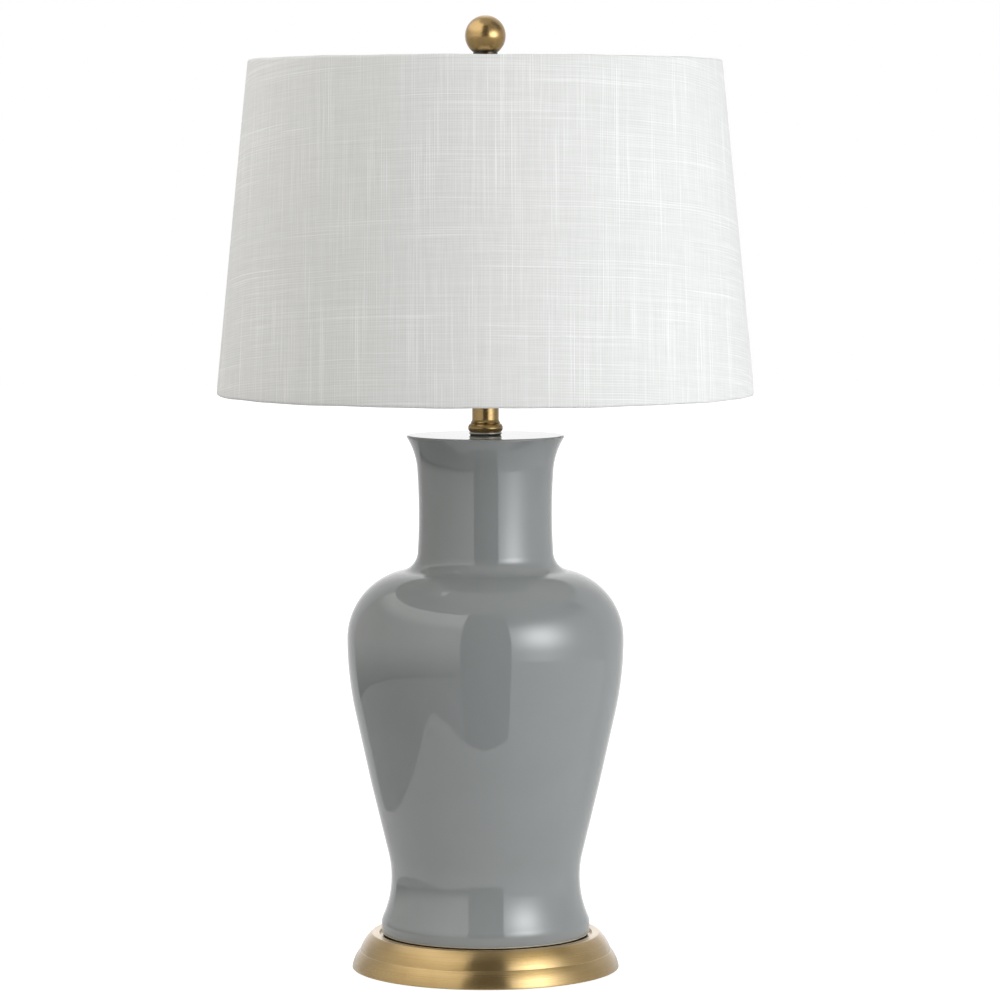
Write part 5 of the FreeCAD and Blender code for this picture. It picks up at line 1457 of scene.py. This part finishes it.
@dataclass
class Studio:
    """Pale floor, a white board under the lamp, light panels all round and the camera, in metres."""

    camera: tuple[float, float, float] = (0.011, -3.320, 0.606)
    aim: tuple[float, float, float] = (0.011, 0.0, 0.3572)
    lens: float = 158.1
    ceiling: float = 0.54
    far_floor: float = 0.3
    horizon: float = 0.02
    board: tuple[Point, ...] = ((-0.36, -0.375), (0.255, -0.385), (0.37, 0.3), (-0.345, 0.3))
    board_drop: float = 0.0005
    board_white: float = 0.82
    board_glow: float = 0.1
    floor_reach: float = 9.0
    floor_grey: float = 0.42
    floor_glow: float = 0.84
    # The floor is dimmer this close to the lamp, and fully bright from the second distance on.
    floor_fade: Span = (0.3, 1.4)

    def build(self) -> None:
        """Set up the camera, the room and its lights."""
        scene = bpy.context.scene
        scene.view_settings.view_transform = "Standard"
        camera = bpy.data.objects.new("camera", bpy.data.cameras.new("camera"))
        scene.collection.objects.link(camera)
        camera.data.lens = self.lens
        camera.location = self.camera
        camera.rotation_euler = (Vector(self.aim) - Vector(self.camera)).to_track_quat("-Z", "Y").to_euler()
        scene.camera = camera
        self.light_room(scene)
        self.lay_floor()
        self.lay_board()
        warm, cool = "#FFFEFB", "#FCFEFF"
        wall = {"reach": 2.2, "low": -1.2}
        for panel in (
                Softbox("right_softbox", 21, 115, (0.84, 0.78, 0.52), hot_at=47, hot_width=14.5, hot_glow=5.4,
                        upper=-0.4, colour=cool),
                Softbox("right_sheet", 21, 115, (0.88, 0.88, 0.8), low=-1.2, high=0, colour=cool),
                Softbox("left_softbox", -137, -20, (0.5, 0.85, 0.9), low=-0.15, fade=0.25, hot_at=-48,
                        hot_width=20, hot_glow=0.2, upper=0.75, colour=warm),
                Softbox("backdrop_right", 115, 180, (0.6, 0.7, 1.25), **wall),
                Softbox("backdrop_left", 180, 223, (1.25, 0.8, 0.6), **wall),
                Softbox("front_wall", -20, 21, (0.1, 0.1, 0.1), **wall)):
            panel.build()

    def light_room(self, scene: bpy.types.Scene) -> None:
        """Make the room white where the camera sees it and dim for the lamp's reflections.

        Args:
            scene: The scene.
        """
        world = bpy.data.worlds.new("studio")
        scene.world = world
        world.use_nodes = True
        tree = world.node_tree
        around = add_node(tree, "ShaderNodeTexCoord").outputs["Generated"]
        way = add_node(tree, "ShaderNodeSeparateXYZ", {0: around})
        glow = add_node(tree, "ShaderNodeMapRange", {
            "Value": way.outputs[2], "From Min": -self.horizon, "From Max": self.horizon,
            "To Min": self.far_floor, "To Max": self.ceiling})
        dim = tree.nodes["Background"]
        feed(tree, dim, {"Color": linear(WHITE), "Strength": glow})
        white = add_node(tree, "ShaderNodeBackground", {"Color": linear(WHITE), "Strength": 1.0})
        path = add_node(tree, "ShaderNodeLightPath")
        both = add_node(tree, "ShaderNodeMixShader", {0: path.outputs["Is Camera Ray"], 1: dim, 2: white})
        feed(tree, tree.nodes["World Output"], {"Surface": both})

    def plane(self, name: str, corners: Sequence[Point], up: float,
              material: bpy.types.Material) -> bpy.types.Object:
        """Make one level sheet of the stage.

        Args:
            name: Name of the sheet.
            corners: Its corners.
            up: Its height.
            material: Its material.

        Returns:
            The sheet.
        """
        mesh = bpy.data.meshes.new(name)
        mesh.from_pydata([(*corner, up) for corner in corners], [], [tuple(range(len(corners)))])
        mesh.materials.append(material)
        sheet = bpy.data.objects.new(name, mesh)
        bpy.context.scene.collection.objects.link(sheet)
        return sheet

    def lay_floor(self) -> None:
        """Lay the pale floor, lit evenly, that takes only the lamp's own soft shadow."""
        skin = Skin("white_floor")
        off = skin.add("ShaderNodeVectorMath", {0: skin.place()}, operation="LENGTH").outputs["Value"]
        glow = skin.add("ShaderNodeMapRange", {
            "Value": off, "From Min": self.floor_fade[0], "From Max": self.floor_fade[1],
            "To Min": self.floor_glow, "To Max": 1.0})
        skin.shine({"Base Color": (*[self.floor_grey] * 3, 1), "Roughness": 1.0, "Specular IOR Level": 0.0,
                    "Emission Color": linear(WHITE), "Emission Strength": glow})
        reach = self.floor_reach
        corners = [(-reach, -reach), (reach, -reach), (reach, reach), (-reach, reach)]
        floor = self.plane("floor", corners, 0, skin.material)
        floor.visible_diffuse = False
        floor.visible_glossy = False

    def lay_board(self) -> None:
        """Lay the white board under the lamp that its glaze reflects."""
        skin = Skin("white_board")
        skin.shine({"Base Color": (*[self.board_white] * 3, 1), "Roughness": 0.9,
                    "Emission Color": linear(WHITE), "Emission Strength": self.board_glow})
        board = self.plane("board", self.board, -self.board_drop, skin.material)
        board.visible_camera = False


def dress_packed() -> None:
    """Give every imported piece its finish."""
    for part in frame["record"]["subparts"]:
        item = frame["nodes"][part["node"]]
        finish = SLOT_FINISHES[part["material_slot"]]
        item.data.materials.clear()
        item.data.materials.append(finish.material())
        log.info("%s: %s", item.name, finish.name)


def main() -> None:
    """Build the studio and the lamp, piece by piece."""
    logging.basicConfig(level=logging.INFO, format="%(message)s")
    Studio().build()
    dress_packed()
    for assembly in (Pads(), Jar(), Shade()):
        assembly.build()


if __name__ == "__main__":
    main()
